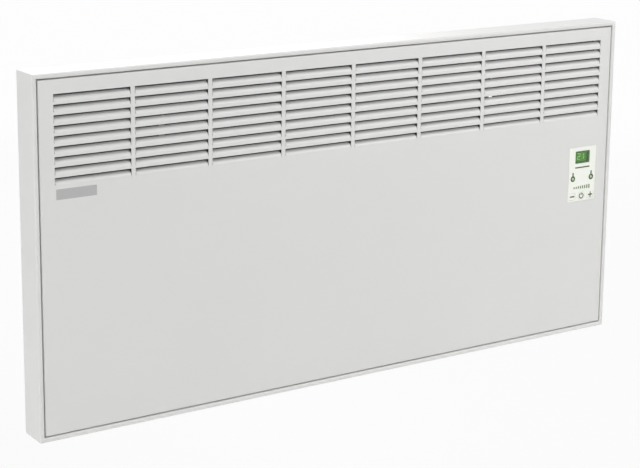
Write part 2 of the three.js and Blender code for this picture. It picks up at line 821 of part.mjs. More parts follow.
// Its own frame: the origin is the fascia's middle on the panel's front face, and y points back.
const flangeFront = panelSheet + seat;
const flangeRear = flangeFront + fasciaFlange;
const housingFront = flangeRear + seat;
const keyFlangeFront = housingFront;
const keyFlangeRear = keyFlangeFront + keyFlange;
const switchFront = keyFlangeRear + keyTravel + seat + keyPlay;
const displayBoardFront = switchFront + switchDepth + seat;
const displayBoardRear = displayBoardFront + boardThickness;
const postFront = displayBoardRear + seat;
const powerBoardFront = displayBoardRear + componentSpace + relayDepth + seat;
const powerBoardRear = powerBoardFront + boardThickness;
const postRear = powerBoardFront - seat;
const housingRear = powerBoardRear + coverGap;
const windowZ = fasciaHeight / 2 - windowDrop - windowHeight / 2;
const keyZ = -fasciaHeight / 2 + keyRise;
const indicatorZ = fasciaHeight / 2 - indicatorDrop;
const innerWidth = housingWidth - 2 * housingWall;
const innerHeight = housingHeight - 2 * housingWall;
const keyNames = ['minus', 'power', 'plus'];

function controlFascia() {
  const holes = [
    rectangle(0, windowZ, windowWidth, windowHeight),
    ...keyNames.map((_, i) => roundedRectangle(
      (i - 1) * keyPitch,
      keyZ,
      keyWidth + 2 * keyClearance,
      keyHeight + 2 * keyClearance,
      keyCorner + keyClearance,
    )),
    ...[-1, 1].map((sign) => circle(sign * keyPitch, indicatorZ, indicatorRadius + seat, 12)),
  ];
  const face = roundedRectangle(0, 0, fasciaWidth, fasciaHeight, fasciaCorner);
  const flange = roundedRectangle(0, 0, housingWidth, housingHeight, housingCorner);
  return join(
    prism('y', face, -fasciaProud, flangeRear, holes),
    prism('y', flange, flangeFront, flangeRear, holes),
  );
}

// A clear window with a flange behind the fascia.
const displayWindow = () => join(
  prism('y', rectangle(0, windowZ, windowWidth - 2 * seat, windowHeight - 2 * seat), 0, keyFlangeRear),
  prism(
    'y',
    rectangle(0, windowZ, windowWidth + 2 * windowFlange, windowHeight + 2 * windowFlange),
    keyFlangeFront,
    keyFlangeRear,
  ),
);

const displayModule = () => prism(
  'y',
  roundedRectangle(
    0,
    windowZ,
    windowWidth + 2 * moduleMargin,
    windowHeight + 2 * moduleMargin,
    moduleCorner,
  ),
  keyFlangeRear + seat,
  displayBoardFront - seat,
);

// A key: a cap in the fascia, a flange that keeps it from falling out, and a stem in its switch.
const keyCap = () => join(
  prism('y', roundedRectangle(0, keyZ, keyWidth, keyHeight, keyCorner), -fasciaProud, keyFlangeRear),
  prism(
    'y',
    roundedRectangle(0, keyZ, keyWidth + 2 * keyFlangeReach, keyHeight + 2 * keyFlangeReach, keyCorner),
    keyFlangeFront,
    keyFlangeRear,
  ),
  moved(rod('y', stemRadius, keyFlangeRear - seat, switchFront + stemEntry, 12), 0, 0, keyZ),
);

function keySwitch() {
  const boreEnd = switchFront + stemEntry + keyTravel + seat;
  const bore = rod('y', stemRadius + switchBoreClearance, switchFront - seat, boreEnd, 12);
  const body = prism('y', rectangle(0, 0, switchSize, switchSize), switchFront, displayBoardFront - seat);
  return moved(body.subtract(bore), 0, 0, keyZ);
}

const indicatorLight = () => moved(turned('y', [
  [0, -fasciaProud], [indicatorRadius, -fasciaProud], [indicatorRadius, keyFlangeFront],
  [indicatorRadius + indicatorFlange, keyFlangeFront],
  [indicatorRadius + indicatorFlange, displayBoardFront - seat],
  [0, displayBoardFront - seat],
], 12), 0, 0, indicatorZ);

function controlHousing() {
  const outer = roundedRectangle(0, 0, housingWidth, housingHeight, housingCorner);
  const inner = roundedRectangle(0, 0, innerWidth, innerHeight, housingCorner - housingWall, 2);
  const walls = prism('y', outer, housingFront, housingRear, [inner]);
  const posts = [[1, 1], [1, -1], [-1, 1], [-1, -1]].map(([a, b]) => {
    const x = (a * innerWidth) / 2;
    const z = (b * innerHeight) / 2;
    const reach = (sign, edge) => [edge - sign * postSize, edge + (sign * housingWall) / 2];
    const inOrder = (p, q) => p - q;
    return block(...reach(a, x).sort(inOrder), postFront, postRear, ...reach(b, z).sort(inOrder));
  });
  const ears = [-1, 1].map((sign) => {
    const z = (sign * housingHeight) / 2;
    const middle = z + (sign * (earHeight - housingWall)) / 2;
    return prism(
      'y',
      rectangle(0, middle, earWidth, earHeight + housingWall),
      housingFront,
      housingFront + earThickness,
      [circle(0, (sign * (housingHeight + earHeight)) / 2, studRadius + studClearance, 12)],
    );
  });
  const inside = prism('y', inner, housingFront - through, housingFront + earThickness + through);
  const leadNotch = block(
    -housingWidth / 4,
    housingWidth / 4,
    postFront + componentSpace,
    postRear - componentSpace,
    -housingHeight / 2 - through,
    -innerHeight / 2 + through,
  );
  return cut(join(walls, ...posts, ...ears.map((ear) => ear.subtract(inside))), leadNotch);
}

// The housing's cover closes it behind and presses the power board onto its posts.
function housingCover() {
  const outline = roundedRectangle(0, 0, housingWidth, housingHeight, housingCorner);
  const vents = Array.from({ length: coverVents }, (_, i) => {
    const z = (i - (coverVents - 1) / 2) * coverVentPitch;
    return roundedRectangle(0, z, housingWidth / 2, coverVentWidth, coverVentWidth / 2, 1);
  });
  const front = housingRear + seat;
  const plate = prism('y', outline, front, front + coverThickness, vents);
  const pegs = [[1, 1], [1, -1], [-1, 1], [-1, -1]].map(([a, b]) => moved(
    rod('y', postSize / 3, powerBoardRear + seat, front + coverThickness / 2, 8),
    a * (innerWidth / 2 - postSize / 2),
    0,
    b * (innerHeight / 2 - postSize / 2),
  ));
  return join(plate, ...pegs);
}

const circuitBoard = (front) => prism(
  'y',
  rectangle(0, 0, innerWidth - 2 * boardClearance, innerHeight - 2 * boardClearance),
  front,
  front + boardThickness,
);

const powerRelay = () => moved(prism(
  'y',
  roundedRectangle(0, 0, relayWidth, relayLength, relayCorner),
  powerBoardFront - seat - relayDepth,
  powerBoardFront - seat,
), -innerWidth / 4, 0, innerHeight / 8);

// A small mains transformer: a laminated core with a wound bobbin standing proud of it.
const boardTransformer = () => {
  const base = powerBoardFront - seat;
  const body = join(
    prism('y', rectangle(0, 0, coreWidth, coreLength), base - coreRise - coreDepth, base - coreRise),
    prism('y', roundedRectangle(0, 0, bobbinWidth, bobbinLength, bobbinCorner), base - bobbinDepth, base),
  );
  return moved(body, innerWidth / 2 - componentMargin - coreWidth / 2, 0, innerHeight / 5);
};

const smoothingCapacitor = () => {
  const base = powerBoardFront - seat;
  return moved(turned('y', [
    [0, base - capacitorHeight], [capacitorRadius - capacitorCrimp, base - capacitorHeight],
    [capacitorRadius, base - capacitorHeight + capacitorCrimp], [capacitorRadius, base], [0, base],
  ], 16), innerWidth / 4, 0, -innerHeight / 8);
};

const hexNut = () => prism('y', circle(0, 0, nutRadius, 6), 0, nutHeight, [
  circle(0, 0, studRadius + studClearance, 12),
]);

// ---- Supply pieces ------------------------------------------------------------------------------

function terminalBlock() {
  const rear = backPanelFront - seat;
  const width = terminalWays * terminalPitch;
  const body = prism('x', [
    [rear, -terminalHeight / 2],
    [rear - terminalShoulder, -terminalHeight / 2],
    [rear - terminalDepth, -terminalNose / 2],
    [rear - terminalDepth, terminalNose / 2],
    [rear - terminalShoulder, terminalHeight / 2],
    [rear, terminalHeight / 2],
  ], -width / 2, width / 2);
  const wells = Array.from({ length: terminalWays }, (_, i) => {
    const x = (i - (terminalWays - 1) / 2) * terminalPitch;
    const well = rod('y', terminalWell, rear - terminalDepth - through, rear - terminalDepth / 2, 12);
    return moved(well, x, 0, 0);
  });
  return cut(body, ...wells);
}

// The inlet gland: it passes through the back panel, and its flange is outside.
function cableGland() {
  const inside = backPanelFront - glandThread;
  const outside = backPanelRear + seat;
  return turned('y', [
    [glandBore, inside], [glandRadius, inside], [glandRadius, outside],
    [glandFlangeRadius, outside], [glandFlangeRadius, outside + glandFlange],
    [glandRadius - lap, outside + glandNose], [glandBore, outside + glandNose], [glandBore, inside],
  ], 16);
}

function glandNut() {
  const rear = backPanelFront - seat;
  const bore = circle(0, 0, glandRadius + glandClearance);
  return prism('y', circle(0, 0, glandNutRadius, 6), rear - glandNutHeight, rear, [bore]);
}

// The room sensor lies in an open clip just above the inlets, in the air that comes in.
function sensorClip() {
  const rear = backPanelFront - seat;
  const size = sensorRadius + seat + sensorWall;
  const centre = rear - size;
  const body = block(-sensorLength / 3, sensorLength / 3, centre - sensorRadius, rear, -size, size);
  return cut(body, moved(rod('x', sensorRadius + seat, -sensorLength, sensorLength, 12), 0, centre, 0));
}

const roomSensor = () => {
  const centre = backPanelFront - seat - (sensorRadius + seat + sensorWall);
  return moved(turned('x', [
    [0, -sensorLength / 2], [sensorRadius / 2, -sensorLength / 2 + sensorTip / 5],
    [sensorRadius, -sensorLength / 2 + sensorTip], [sensorRadius, sensorLength / 2], [0, sensorLength / 2],
  ], 12), 0, centre, 0);
};

// An insulated lead: a round section swept along a smooth curve through its route.
function lead(route, steps) {
  const curve = new THREE.CatmullRomCurve3(route.map((point) => new THREE.Vector3(...point)));
  const section = new THREE.Shape(circle(0, 0, leadRadius, 8).map(([u, v]) => new THREE.Vector2(u, v)));
  return solidOf(new THREE.ExtrudeGeometry(section, { steps, extrudePath: curve, bevelEnabled: false }));
}

// ---- Assembly -----------------------------------------------------------------------------------

function piece(name, solid, finish) {
  const mesh = solid.getMesh();
  const geometry = new THREE.BufferGeometry();
  geometry.setAttribute('position', new THREE.BufferAttribute(Float32Array.from(mesh.vertProperties), 3));
  geometry.setIndex(new THREE.BufferAttribute(Uint32Array.from(mesh.triVerts), 1));
  geometry.computeVertexNormals();
  const part = new THREE.Mesh(geometry, new THREE.MeshStandardMaterial(finishes[finish]));
  part.name = name;
  return part;
}

function assembly(x, y, z, ...parts) {
  const group = new THREE.Group();
  group.position.set(x, y, z);
  if (parts.length) group.add(...parts);
  return group;
}

function at(part, x, y, z) {
  part.position.set(x, y, z);
  return part;
}

const sides = [['left', -1], ['right', 1]];

function casing() {
  const group = assembly(
    0,
    0,
    0,
    piece('case_frame', caseFrame(), 'powderCoat'),
    piece('front_panel', frontPanel(), 'powderCoat'),
    piece('back_panel', backPanel(), 'powderCoat'),
  );
  const clip = panelClip();
  const lowerClip = clip.rotate([0, 180, 0]);
  sides.forEach(([side, sign]) => {
    const x = sign * (halfWidth - clipInset);
    group.add(at(piece(`panel_clip_top_${side}`, clip, 'springSteel'), x, 0, halfHeight));
    group.add(at(piece(`panel_clip_bottom_${side}`, lowerClip, 'springSteel'), x, 0, -halfHeight));
  });
  screwPlaces.forEach(([x, z], i) => {
    group.add(at(piece(`back_screw_${i + 1}`, backScrew(), 'zincPlated'), x, 0, z));
  });
  bumperPlaces.forEach(([x, z], i) => {
    group.add(at(piece(`wall_bumper_${sides[i][0]}`, wallBumper(), 'rubber'), x, 0, z));
  });
  return group;
}

function heating() {
  const group = assembly(
    elementX,
    elementY,
    elementZ,
    piece('heating_element', heatingElement(), 'aluminium'),
    piece('reflector', reflector(), 'galvanised'),
  );
  sides.forEach(([side, sign]) => {
    const turn = sign > 0 ? 0 : 180;
    const mirrored = (solid) => solid.rotate([turn, 0, turn]);
    const bracket = piece(`element_bracket_${side}`, mirrored(elementBracket()), 'galvanised');
    group.add(at(bracket, sign * bracketX, 0, 0));
    group.add(at(piece(`element_bush_${side}`, elementBush(), 'ceramic'), sign * bracketX, 0, 0));
    const bead = piece(`terminal_bead_${side}`, mirrored(terminalBead()), 'ceramic');
    group.add(at(bead, sign * tubeEnd, 0, 0));
    const pin = piece(`terminal_pin_${side}`, mirrored(terminalPin()), 'zincPlated');
    group.add(at(pin, sign * tubeEnd, 0, 0));
  });
  const limiterX = elementLength / 2 - limiterFromEnd;
  group.add(at(piece('limiter_bridge', limiterBridge(), 'galvanised'), limiterX, 0, limiterRise));
  group.add(at(piece('thermal_limiter', limiterDisc(), 'blackPlastic'), limiterX, 0, limiterRise));
  return group;
}

function thermostat() {
  const group = assembly(
    controlX,
    panelFront,
    controlZ,
    piece('control_fascia', controlFascia(), 'whitePlastic'),
    piece('display_window', displayWindow(), 'clearPlastic'),
    piece('display_module', displayModule(), 'displayGlass'),
    piece('display_board', circuitBoard(displayBoardFront), 'circuitBoard'),
    piece('control_housing', controlHousing(), 'blackPlastic'),
    piece('housing_cover', housingCover(), 'blackPlastic'),
    piece('power_board', circuitBoard(powerBoardFront), 'circuitBoard'),
    piece('power_relay', powerRelay(), 'blackPlastic'),
    piece('board_transformer', boardTransformer(), 'greyPlastic'),
    piece('smoothing_capacitor', smoothingCapacitor(), 'capacitorSleeve'),
  );
  keyNames.forEach((name, i) => {
    const x = (i - 1) * keyPitch;
    group.add(at(piece(`key_${name}`, keyCap(), 'whitePlastic'), x, 0, 0));
    group.add(at(piece(`key_switch_${name}`, keySwitch(), 'blackPlastic'), x, 0, 0));
  });
  sides.forEach(([side, sign]) => {
    group.add(at(piece(`indicator_light_${side}`, indicatorLight(), 'indicator'), sign * keyPitch, 0, 0));
  });
  [['top', 1], ['bottom', -1]].forEach(([end, sign]) => {
    const nut = piece(`housing_nut_${end}`, hexNut(), 'zincPlated');
    group.add(at(nut, 0, housingFront + earThickness + seat, (sign * (housingHeight + earHeight)) / 2));
  });
  return group;
}

function supply() {
  const sensorX = supplyX - sensorFromGland;
  const group = assembly(
    0,
    0,
    0,
    at(piece('terminal_block', terminalBlock(), 'whitePlastic'), supplyX, 0, terminalZ),
    at(piece('cable_gland', cableGland(), 'blackPlastic'), supplyX, 0, glandZ),
    at(piece('gland_nut', glandNut(), 'blackPlastic'), supplyX, 0, glandZ),
    at(piece('sensor_clip', sensorClip(), 'greyPlastic'), sensorX, 0, glandZ),
    at(piece('room_sensor', roomSensor(), 'blackPlastic'), sensorX, 0, glandZ),
  );
  return group;
}

function wiring() {
  const notchZ = controlZ - housingHeight / 2;
  const notchY = panelFront + (postFront + postRear) / 2;
  const topZ = terminalZ + terminalHeight / 2 + seat;
  const blockY = backPanelFront - seat - terminalDepth * 0.3;
  const pinEnd = tubeEnd + pinLength + spadeLength + seat;
  const rightPin = elementX + pinEnd;
  const leftPin = elementX - pinEnd;
  const limiterX = elementX + elementLength / 2 - limiterFromEnd;
  const limiterY = elementY + bridgeTop - bracketSheet - seat - limiterBody + spadeThickness / 2;
  const limiterZ = elementZ + limiterRise;
  const bladeEnd = limiterBladeX + limiterBladeLength / 2 + seat;
  const runZ = limiterZ + leadRise;
  const supplyLead = lead([
    [supplyX - terminalPitch, blockY, topZ],
    [supplyX - terminalPitch, blockY, topZ + leadRun],
    [supplyX - leadSpacing, (blockY + notchY) / 2, (topZ + notchZ) / 2],
    [supplyX - leadSpacing, notchY, notchZ - leadRun],
    [supplyX - leadSpacing, notchY, notchZ + leadTail],
  ], 10);
  const elementLead = lead([
    [supplyX + terminalPitch, blockY, topZ],
    [supplyX + terminalPitch, blockY, topZ + leadTail],
    [supplyX, blockY - leadTail, topZ + leadRun + leadSpacing],
    [supplyX - 2 * terminalPitch, elementY, topZ + leadSpacing],
    [rightPin + leadTail, elementY, elementZ],
    [rightPin, elementY, elementZ],
  ], 12);
  const switchedLead = lead([
    [supplyX - 3 * leadSpacing, notchY, notchZ + leadTail],
    [supplyX - 3 * leadSpacing, notchY, notchZ - leadRun],
    [supplyX - leadSlack, notchY, notchZ - 2 * leadRun],
    [limiterX + leadSlack, limiterY, limiterZ + leadRise / 2],
    [limiterX + bladeEnd + leadTail, limiterY, limiterZ],
    [limiterX + bladeEnd, limiterY, limiterZ],
  ], 14);
  const limiterLead = lead([
    [limiterX - bladeEnd, limiterY, limiterZ],
    [limiterX - bladeEnd - leadTail, limiterY, limiterZ],
    [limiterX - leadSlack, limiterY, runZ],
    [leftPin + leadSlack, limiterY, runZ],
    [leftPin, limiterY, runZ - leadRise],
    [leftPin - leadTail, elementY, elementZ + leadRun],
    [leftPin - leadTail, elementY, elementZ],
    [leftPin, elementY, elementZ],
  ], 24);
  return assembly(
    0,
    0,
    0,
    piece('lead_supply', supplyLead, 'brownInsulation'),
    piece('lead_element', elementLead, 'blueInsulation'),
    piece('lead_switched', switchedLead, 'whiteInsulation'),
    piece('lead_limiter', limiterLead, 'whiteInsulation'),
  );
}

const heater = assembly(0, 0, -railZ, casing(), heating(), thermostat(), supply(), wiring());
const wallHungHeater = assembly(0, 0, 0, piece('wall_rail', wallRail(), 'zincPlated'), heater);
wallHungHeater.name = 'panel_convector_heater';

export default wallHungHeater;
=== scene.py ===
# %% [markdown]
# # A wall panel convector heater
#
# The real object is a flat electric heater for a wall: a folded white steel case, a louvred front
# panel and a small keypad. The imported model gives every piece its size, place and body. This file
# dresses it: it makes the pieces that show in finer meshes, gives each finish its own material, and
# sets up a camera and plain studio light.
#
# Lengths are written in millimetres, because that is how such a heater is drawn, and one factor
# turns them to Blender's metres when a mesh is made.

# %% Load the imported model
import json
import math

import bmesh
import bpy
from mathutils import Matrix, Vector


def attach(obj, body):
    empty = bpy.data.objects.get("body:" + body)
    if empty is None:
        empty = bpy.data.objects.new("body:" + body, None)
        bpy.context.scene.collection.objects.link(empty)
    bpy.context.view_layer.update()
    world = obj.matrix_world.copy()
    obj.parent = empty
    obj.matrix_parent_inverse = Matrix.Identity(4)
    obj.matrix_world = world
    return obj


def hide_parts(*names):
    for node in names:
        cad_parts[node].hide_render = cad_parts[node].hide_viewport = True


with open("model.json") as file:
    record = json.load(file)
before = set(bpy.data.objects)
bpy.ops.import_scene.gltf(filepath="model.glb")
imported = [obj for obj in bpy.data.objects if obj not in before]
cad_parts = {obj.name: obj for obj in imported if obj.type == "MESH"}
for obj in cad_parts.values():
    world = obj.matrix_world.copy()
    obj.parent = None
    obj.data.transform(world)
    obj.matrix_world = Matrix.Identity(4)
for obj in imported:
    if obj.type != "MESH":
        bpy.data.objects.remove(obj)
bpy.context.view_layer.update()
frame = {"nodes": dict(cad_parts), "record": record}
nodes = frame["nodes"]
MM = 0.001

# %% [markdown]
# ## The camera
#
# A photograph's camera could be placed by eye. Here its place, turn and lens were worked out from
# the corners of the case instead, because the long top edge shows any error at once. The turn is
# given as three angles: yaw to the right, pitch down and a very small roll. The lens is shifted
# down, as on a camera whose picture was cropped.

# %% Camera
def add_object(name, data):
    """Puts a new object into the scene."""
    item = bpy.data.objects.new(name, data)
    bpy.context.scene.collection.objects.link(item)
    return item


VIEW_WIDTH = 640
SENSOR_WIDTH, LENS_SHIFT = 36, -0.12  # in millimetres, and in picture widths
camera_place = Vector((-1292.8, -1936.1, 435.8)) * MM
camera_yaw, camera_pitch, camera_roll = (math.radians(a) for a in (33.49, 12.34, 0.57))
camera_focal_pixels = 1791.7

level_ahead = Vector((math.sin(camera_yaw), math.cos(camera_yaw), 0))
level_right = Vector((math.cos(camera_yaw), -math.sin(camera_yaw), 0))
ahead = math.cos(camera_pitch) * level_ahead - math.sin(camera_pitch) * Vector((0, 0, 1))
level_up = math.sin(camera_pitch) * level_ahead + math.cos(camera_pitch) * Vector((0, 0, 1))
right = math.cos(camera_roll) * level_right + math.sin(camera_roll) * level_up
up = math.cos(camera_roll) * level_up - math.sin(camera_roll) * level_right

lens = bpy.data.cameras.new("camera")
lens.sensor_fit = "HORIZONTAL"
lens.sensor_width = SENSOR_WIDTH
lens.lens = camera_focal_pixels / VIEW_WIDTH * SENSOR_WIDTH
lens.shift_y = LENS_SHIFT
camera = add_object("camera", lens)
camera_turn = Matrix((right, up, -ahead)).transposed().to_4x4()
camera.matrix_world = Matrix.Translation(camera_place) @ camera_turn
bpy.context.scene.camera = camera
print("camera lens", round(lens.lens, 1), "mm")

# %% [markdown]
# ## Helpers for materials
#
# A material could be built with one function for every kind of node. One small function is enough:
# it adds a node, sets its options, and fills its inputs with values or with other nodes' outputs.
# A second one starts each finish from its colour, roughness and metalness, and hands back the
# piece's own coordinates, so that every pattern is sized in real millimetres and needs no UV map.

# %% Colour, node and finish
FACTOR, COLOUR_A, COLOUR_B, MIXED = 0, 6, 7, 2  # the colour sockets of a Mix node


def linear(hex_colour):
    """Turns a colour as written for a screen into the linear values that Blender mixes."""
    channels = [int(hex_colour[i : i + 2], 16) / 255 for i in (1, 3, 5)]
    return [c / 12.92 if c <= 0.04045 else ((c + 0.055) / 1.055) ** 2.4 for c in channels] + [1]


def add_node(tree, kind, settings=None, inputs=None):
    """Adds a node, sets its options, and fills its inputs with values or other nodes' outputs."""
    node = tree.nodes.new(kind)
    for option, value in (settings or {}).items():
        setattr(node, option, value)
    for socket, value in (inputs or {}).items():
        if isinstance(value, bpy.types.NodeSocket):
            tree.links.new(value, node.inputs[socket])
        else:
            node.inputs[socket].default_value = value
    return node


def start_finish(name, colour, roughness, metallic=0.0):
    """Starts a material from its typical values; gives it with its tree, shader and coordinates."""
    material = bpy.data.materials.new(name)
    material.use_nodes = True
    tree = material.node_tree
    shader = tree.nodes["Principled BSDF"]
    shader.inputs["Base Color"].default_value = linear(colour)
    shader.inputs["Roughness"].default_value = roughness
    shader.inputs["Metallic"].default_value = metallic
    return material, tree, shader, add_node(tree, "ShaderNodeTexCoord").outputs["Object"]


def per_metre(size):
    """The texture scale that gives features of a size in millimetres."""
    return 1 / (size * MM)


def vary(tree, shader, pattern, colours, roughness):
    """Lets a pattern move the colour between two values, and the roughness with it."""
    colour = add_node(tree, "ShaderNodeMix", {"data_type": "RGBA"},
                      {FACTOR: pattern, COLOUR_A: linear(colours[0]), COLOUR_B: linear(colours[1])})
    gloss = add_node(tree, "ShaderNodeMapRange", None,
                     {"Value": pattern, "To Min": roughness[0], "To Max": roughness[1]})
    tree.links.new(colour.outputs[MIXED], shader.inputs["Base Color"])
    tree.links.new(gloss.outputs["Result"], shader.inputs["Roughness"])


def emboss(tree, shader, pattern, depth, strength=1.0):
    """Lets a pattern raise the surface by a depth in millimetres."""
    bump = add_node(tree, "ShaderNodeBump", None,
                    {"Height": pattern, "Distance": depth * MM, "Strength": strength})
    tree.links.new(bump.outputs["Normal"], shader.inputs["Normal"])


print("white is", linear("#FFFFFF"))

# %% [markdown]
# ## Powder coat
#
# The case and the front panel are sheet steel with a baked polyester powder coat: a warm white film
# about 0.07 mm thick. The melted powder leaves a soft satin gloss and a very shallow ripple, called
# orange peel. It could be a plain white shader, but a slow change of tone and the ripple keep a
# large flat sheet from looking like paper. The real ripple is 1 to 2 mm wide, which is too fine for
# the picture, so it is drawn 4 mm wide.

# %% Powder-coated steel
powder_coat, tree, shader, place = start_finish("satin_powder_coat_on_steel", "#E4E4E2", 0.42)
drift = add_node(tree, "ShaderNodeTexNoise", None,
                 {"Vector": place, "Scale": per_metre(180), "Detail": 2})
peel = add_node(tree, "ShaderNodeTexNoise", None,
                {"Vector": place, "Scale": per_metre(4), "Detail": 1, "Roughness": 0.4})
vary(tree, shader, drift.outputs["Fac"], ("#E2E2E0", "#E6E6E4"), (0.40, 0.46))
emboss(tree, shader, peel.outputs["Fac"], 0.02)
print("made", powder_coat.name)

# %% [markdown]
# ## Steels and aluminium
#
# Galvanised sheet shows spangle: zinc crystals a few millimetres across, each with its own shade.
# A Voronoi texture gives exactly such cells. Zinc plating on screws and on the rail is smoother and
# slightly blue, so fine noise is enough there. Spring steel is blued by heat. The heating element
# is extruded aluminium in mill finish, with die lines along its length: a noise that is stretched
# along X draws them. Real die lines are about 0.1 mm wide, too fine to show, so they are drawn
# 0.7 mm wide.

# %% Metals
galvanised_steel, tree, shader, place = start_finish("galvanised_sheet_steel", "#B9BDBF", 0.4, 1.0)
spangle = add_node(tree, "ShaderNodeTexVoronoi", None, {"Vector": place, "Scale": per_metre(7)})
shade = add_node(tree, "ShaderNodeSeparateColor", None, {"Color": spangle.outputs["Color"]})
vary(tree, shader, shade.outputs["Red"], ("#AEB3B6", "#C4C8CA"), (0.3, 0.5))

zinc_plate, tree, shader, place = start_finish("zinc_plated_steel", "#B4B7B8", 0.33, 1.0)
handling = add_node(tree, "ShaderNodeTexNoise", None,
                    {"Vector": place, "Scale": per_metre(9), "Detail": 4, "Roughness": 0.6})
vary(tree, shader, handling.outputs["Fac"], ("#A9AEB2", "#C0C1BE"), (0.26, 0.42))
emboss(tree, shader, handling.outputs["Fac"], 0.01)

spring_steel, tree, shader, place = start_finish("blued_spring_steel", "#6F7375", 0.38, 1.0)
scale_bloom = add_node(tree, "ShaderNodeTexNoise", None, {"Vector": place, "Scale": per_metre(5)})
vary(tree, shader, scale_bloom.outputs["Fac"], ("#5D6266", "#7C7F80"), (0.32, 0.46))

aluminium, tree, shader, place = start_finish("extruded_aluminium", "#C9CBCC", 0.36, 1.0)
ALONG_THE_DIE = 0.01  # a die line is a hundred times longer than wide
die_stretch = add_node(tree, "ShaderNodeMapping", None,
                       {"Vector": place, "Scale": (ALONG_THE_DIE, 1, 1)})
die_lines = add_node(tree, "ShaderNodeTexNoise", None, {
    "Vector": die_stretch.outputs["Vector"], "Scale": per_metre(0.7), "Detail": 3})
vary(tree, shader, die_lines.outputs["Fac"], ("#BEC0C1", "#D2D4D5"), (0.3, 0.44))
emboss(tree, shader, die_lines.outputs["Fac"], 0.02)
print("made", [m.name for m in (galvanised_steel, zinc_plate, spring_steel, aluminium)])

# %% [markdown]
# ## Plastics, rubber and ceramic
#
# These finishes differ in colour and gloss, but each is moulded, printed or fired, and so has a
# fine, even grain. One loop makes them from a table: the name of the real material, two shades that
# the grain moves between, the least and most roughness, and the grain's width and depth in
# millimetres. The real grain is 0.1 mm or less, which no picture of a whole heater shows, so it is
# drawn 0.6 to 2.5 mm wide. The IOR of 1.5 that the shader starts with suits them all.

# %% Moulded, printed and fired finishes
GRAINED = {
    # a smooth printed film: the brightest white on the heater, slightly warm
    "white_plastic": ("printed_polyester_overlay", "#FAFDF2", "#FDFEF8", 0.30, 0.36, 2.0, 0.004),
    # an eroded mould leaves a fine grain that spreads every highlight
    "grey_plastic": ("flame_retardant_abs_grey", "#898C8E", "#95989A", 0.5, 0.6, 0.8, 0.02),
    "black_plastic": ("glass_filled_polyamide_black", "#222426", "#2B2D2F", 0.45, 0.6, 0.8, 0.02),
    # painted shade: a dull dark grey for the inside of the back panel, to darken the louvres' slits
    "painted_shade_grey": ("dark_grey_painted_shade", "#505355", "#5A5D5F", 0.6, 0.75, 1.0, 0.01),
    # takes in light and shows almost no highlight
    "rubber": ("epdm_rubber", "#262626", "#303030", 0.75, 0.9, 1.2, 0.04),
    # fired without glaze: creamy and matt
    "ceramic": ("steatite_ceramic", "#EBE5D9", "#F2EEE5", 0.45, 0.6, 1.5, 0.02),
    # frosted, so it looks milky and hides what lies behind it
    "indicator_lens": ("frosted_polycarbonate", "#D9E8C2", "#E4F0D2", 0.22, 0.3, 1.0, 0.004),
    # a lacquer mask: deep green with a half gloss
    "circuit_board": ("epoxy_board_with_solder_mask", "#1B5536", "#23633F", 0.35, 0.5, 1.0, 0.01),
    # shrunk tight, so it shines a little along its length
    "capacitor_sleeve": ("shrunk_pvc_sleeve", "#2A497E", "#34558E", 0.3, 0.42, 2.5, 0.02),
    # extruded silicone is smooth, but never shiny
    "brown_insulation": ("silicone_insulation_brown", "#64412C", "#724B34", 0.5, 0.65, 1.2, 0.02),
    "blue_insulation": ("silicone_insulation_blue", "#375C98", "#3F68A8", 0.5, 0.65, 1.2, 0.02),
    "white_insulation": ("silicone_insulation_white", "#E6E4DD", "#F0EEE9", 0.5, 0.65, 1.2, 0.02),
    # satin lacquer over metal: a plain pale grey with no mirror in it
    "foil": ("satin_aluminised_foil", "#B4B5B4", "#BFC0BF", 0.35, 0.45, 1.5, 0.006),
    # a thin matt film, with the edge of the print crisp
    "ink": ("screen_printed_ink_olive", "#37501F", "#405A27", 0.4, 0.5, 0.6, 0.002),
    "ink_light": ("screen_printed_ink_moss", "#66794C", "#708356", 0.4, 0.5, 0.6, 0.002),
    # tinted right through: a deep green with a clear gloss
    "bezel": ("tinted_polycarbonate_bezel", "#1C5C06", "#23680A", 0.2, 0.28, 1.5, 0.004),
}


def grained(name, dark, light, smooth, rough, width, depth):
    """A finish with a fine, even grain."""
    material, tree, shader, place = start_finish(name, dark, smooth)
    grain = add_node(tree, "ShaderNodeTexNoise", None,
                     {"Vector": place, "Scale": per_metre(width), "Detail": 3})
    vary(tree, shader, grain.outputs["Fac"], (dark, light), (smooth, rough))
    emboss(tree, shader, grain.outputs["Fac"], depth)
    return material


finishes = {slot: grained(*facts) for slot, facts in GRAINED.items()}
finishes.update(white_powder_coat=powder_coat, galvanised_steel=galvanised_steel,
                zinc_plated_steel=zinc_plate, spring_steel=spring_steel, aluminium=aluminium)
print("made", len(GRAINED), "grained finishes")

# %% [markdown]
# ## The display's glass
#
# A small liquid crystal display is lit from behind, so its field glows a little in green and its
# digits stand out in a lighter green. The cover in front of it is clear acrylic with a faint tint.
# Real refraction would be costly for a pane that is this thin, so the pane is mostly transparent
# with a gloss of its own.

# %% Display finishes
lit_field, tree, shader, place = start_finish("backlit_liquid_crystal_glass", "#3F8A1C", 0.18)
backlight = add_node(tree, "ShaderNodeTexNoise", None, {"Vector": place, "Scale": per_metre(14)})
vary(tree, shader, backlight.outputs["Fac"], ("#357A12", "#4A9622"), (0.16, 0.2))
shader.inputs["Emission Color"].default_value = linear("#4A9A1E")
shader.inputs["Emission Strength"].default_value = 0.15

lit_digit, tree, shader, place = start_finish("lit_display_segments", "#9ADB52", 0.3)
segment_glow = add_node(tree, "ShaderNodeTexNoise", None, {"Vector": place, "Scale": per_metre(6)})
vary(tree, shader, segment_glow.outputs["Fac"], ("#8FD248", "#A5E35E"), (0.26, 0.34))
shader.inputs["Emission Color"].default_value = linear("#9ADB52")
shader.inputs["Emission Strength"].default_value = 0.2

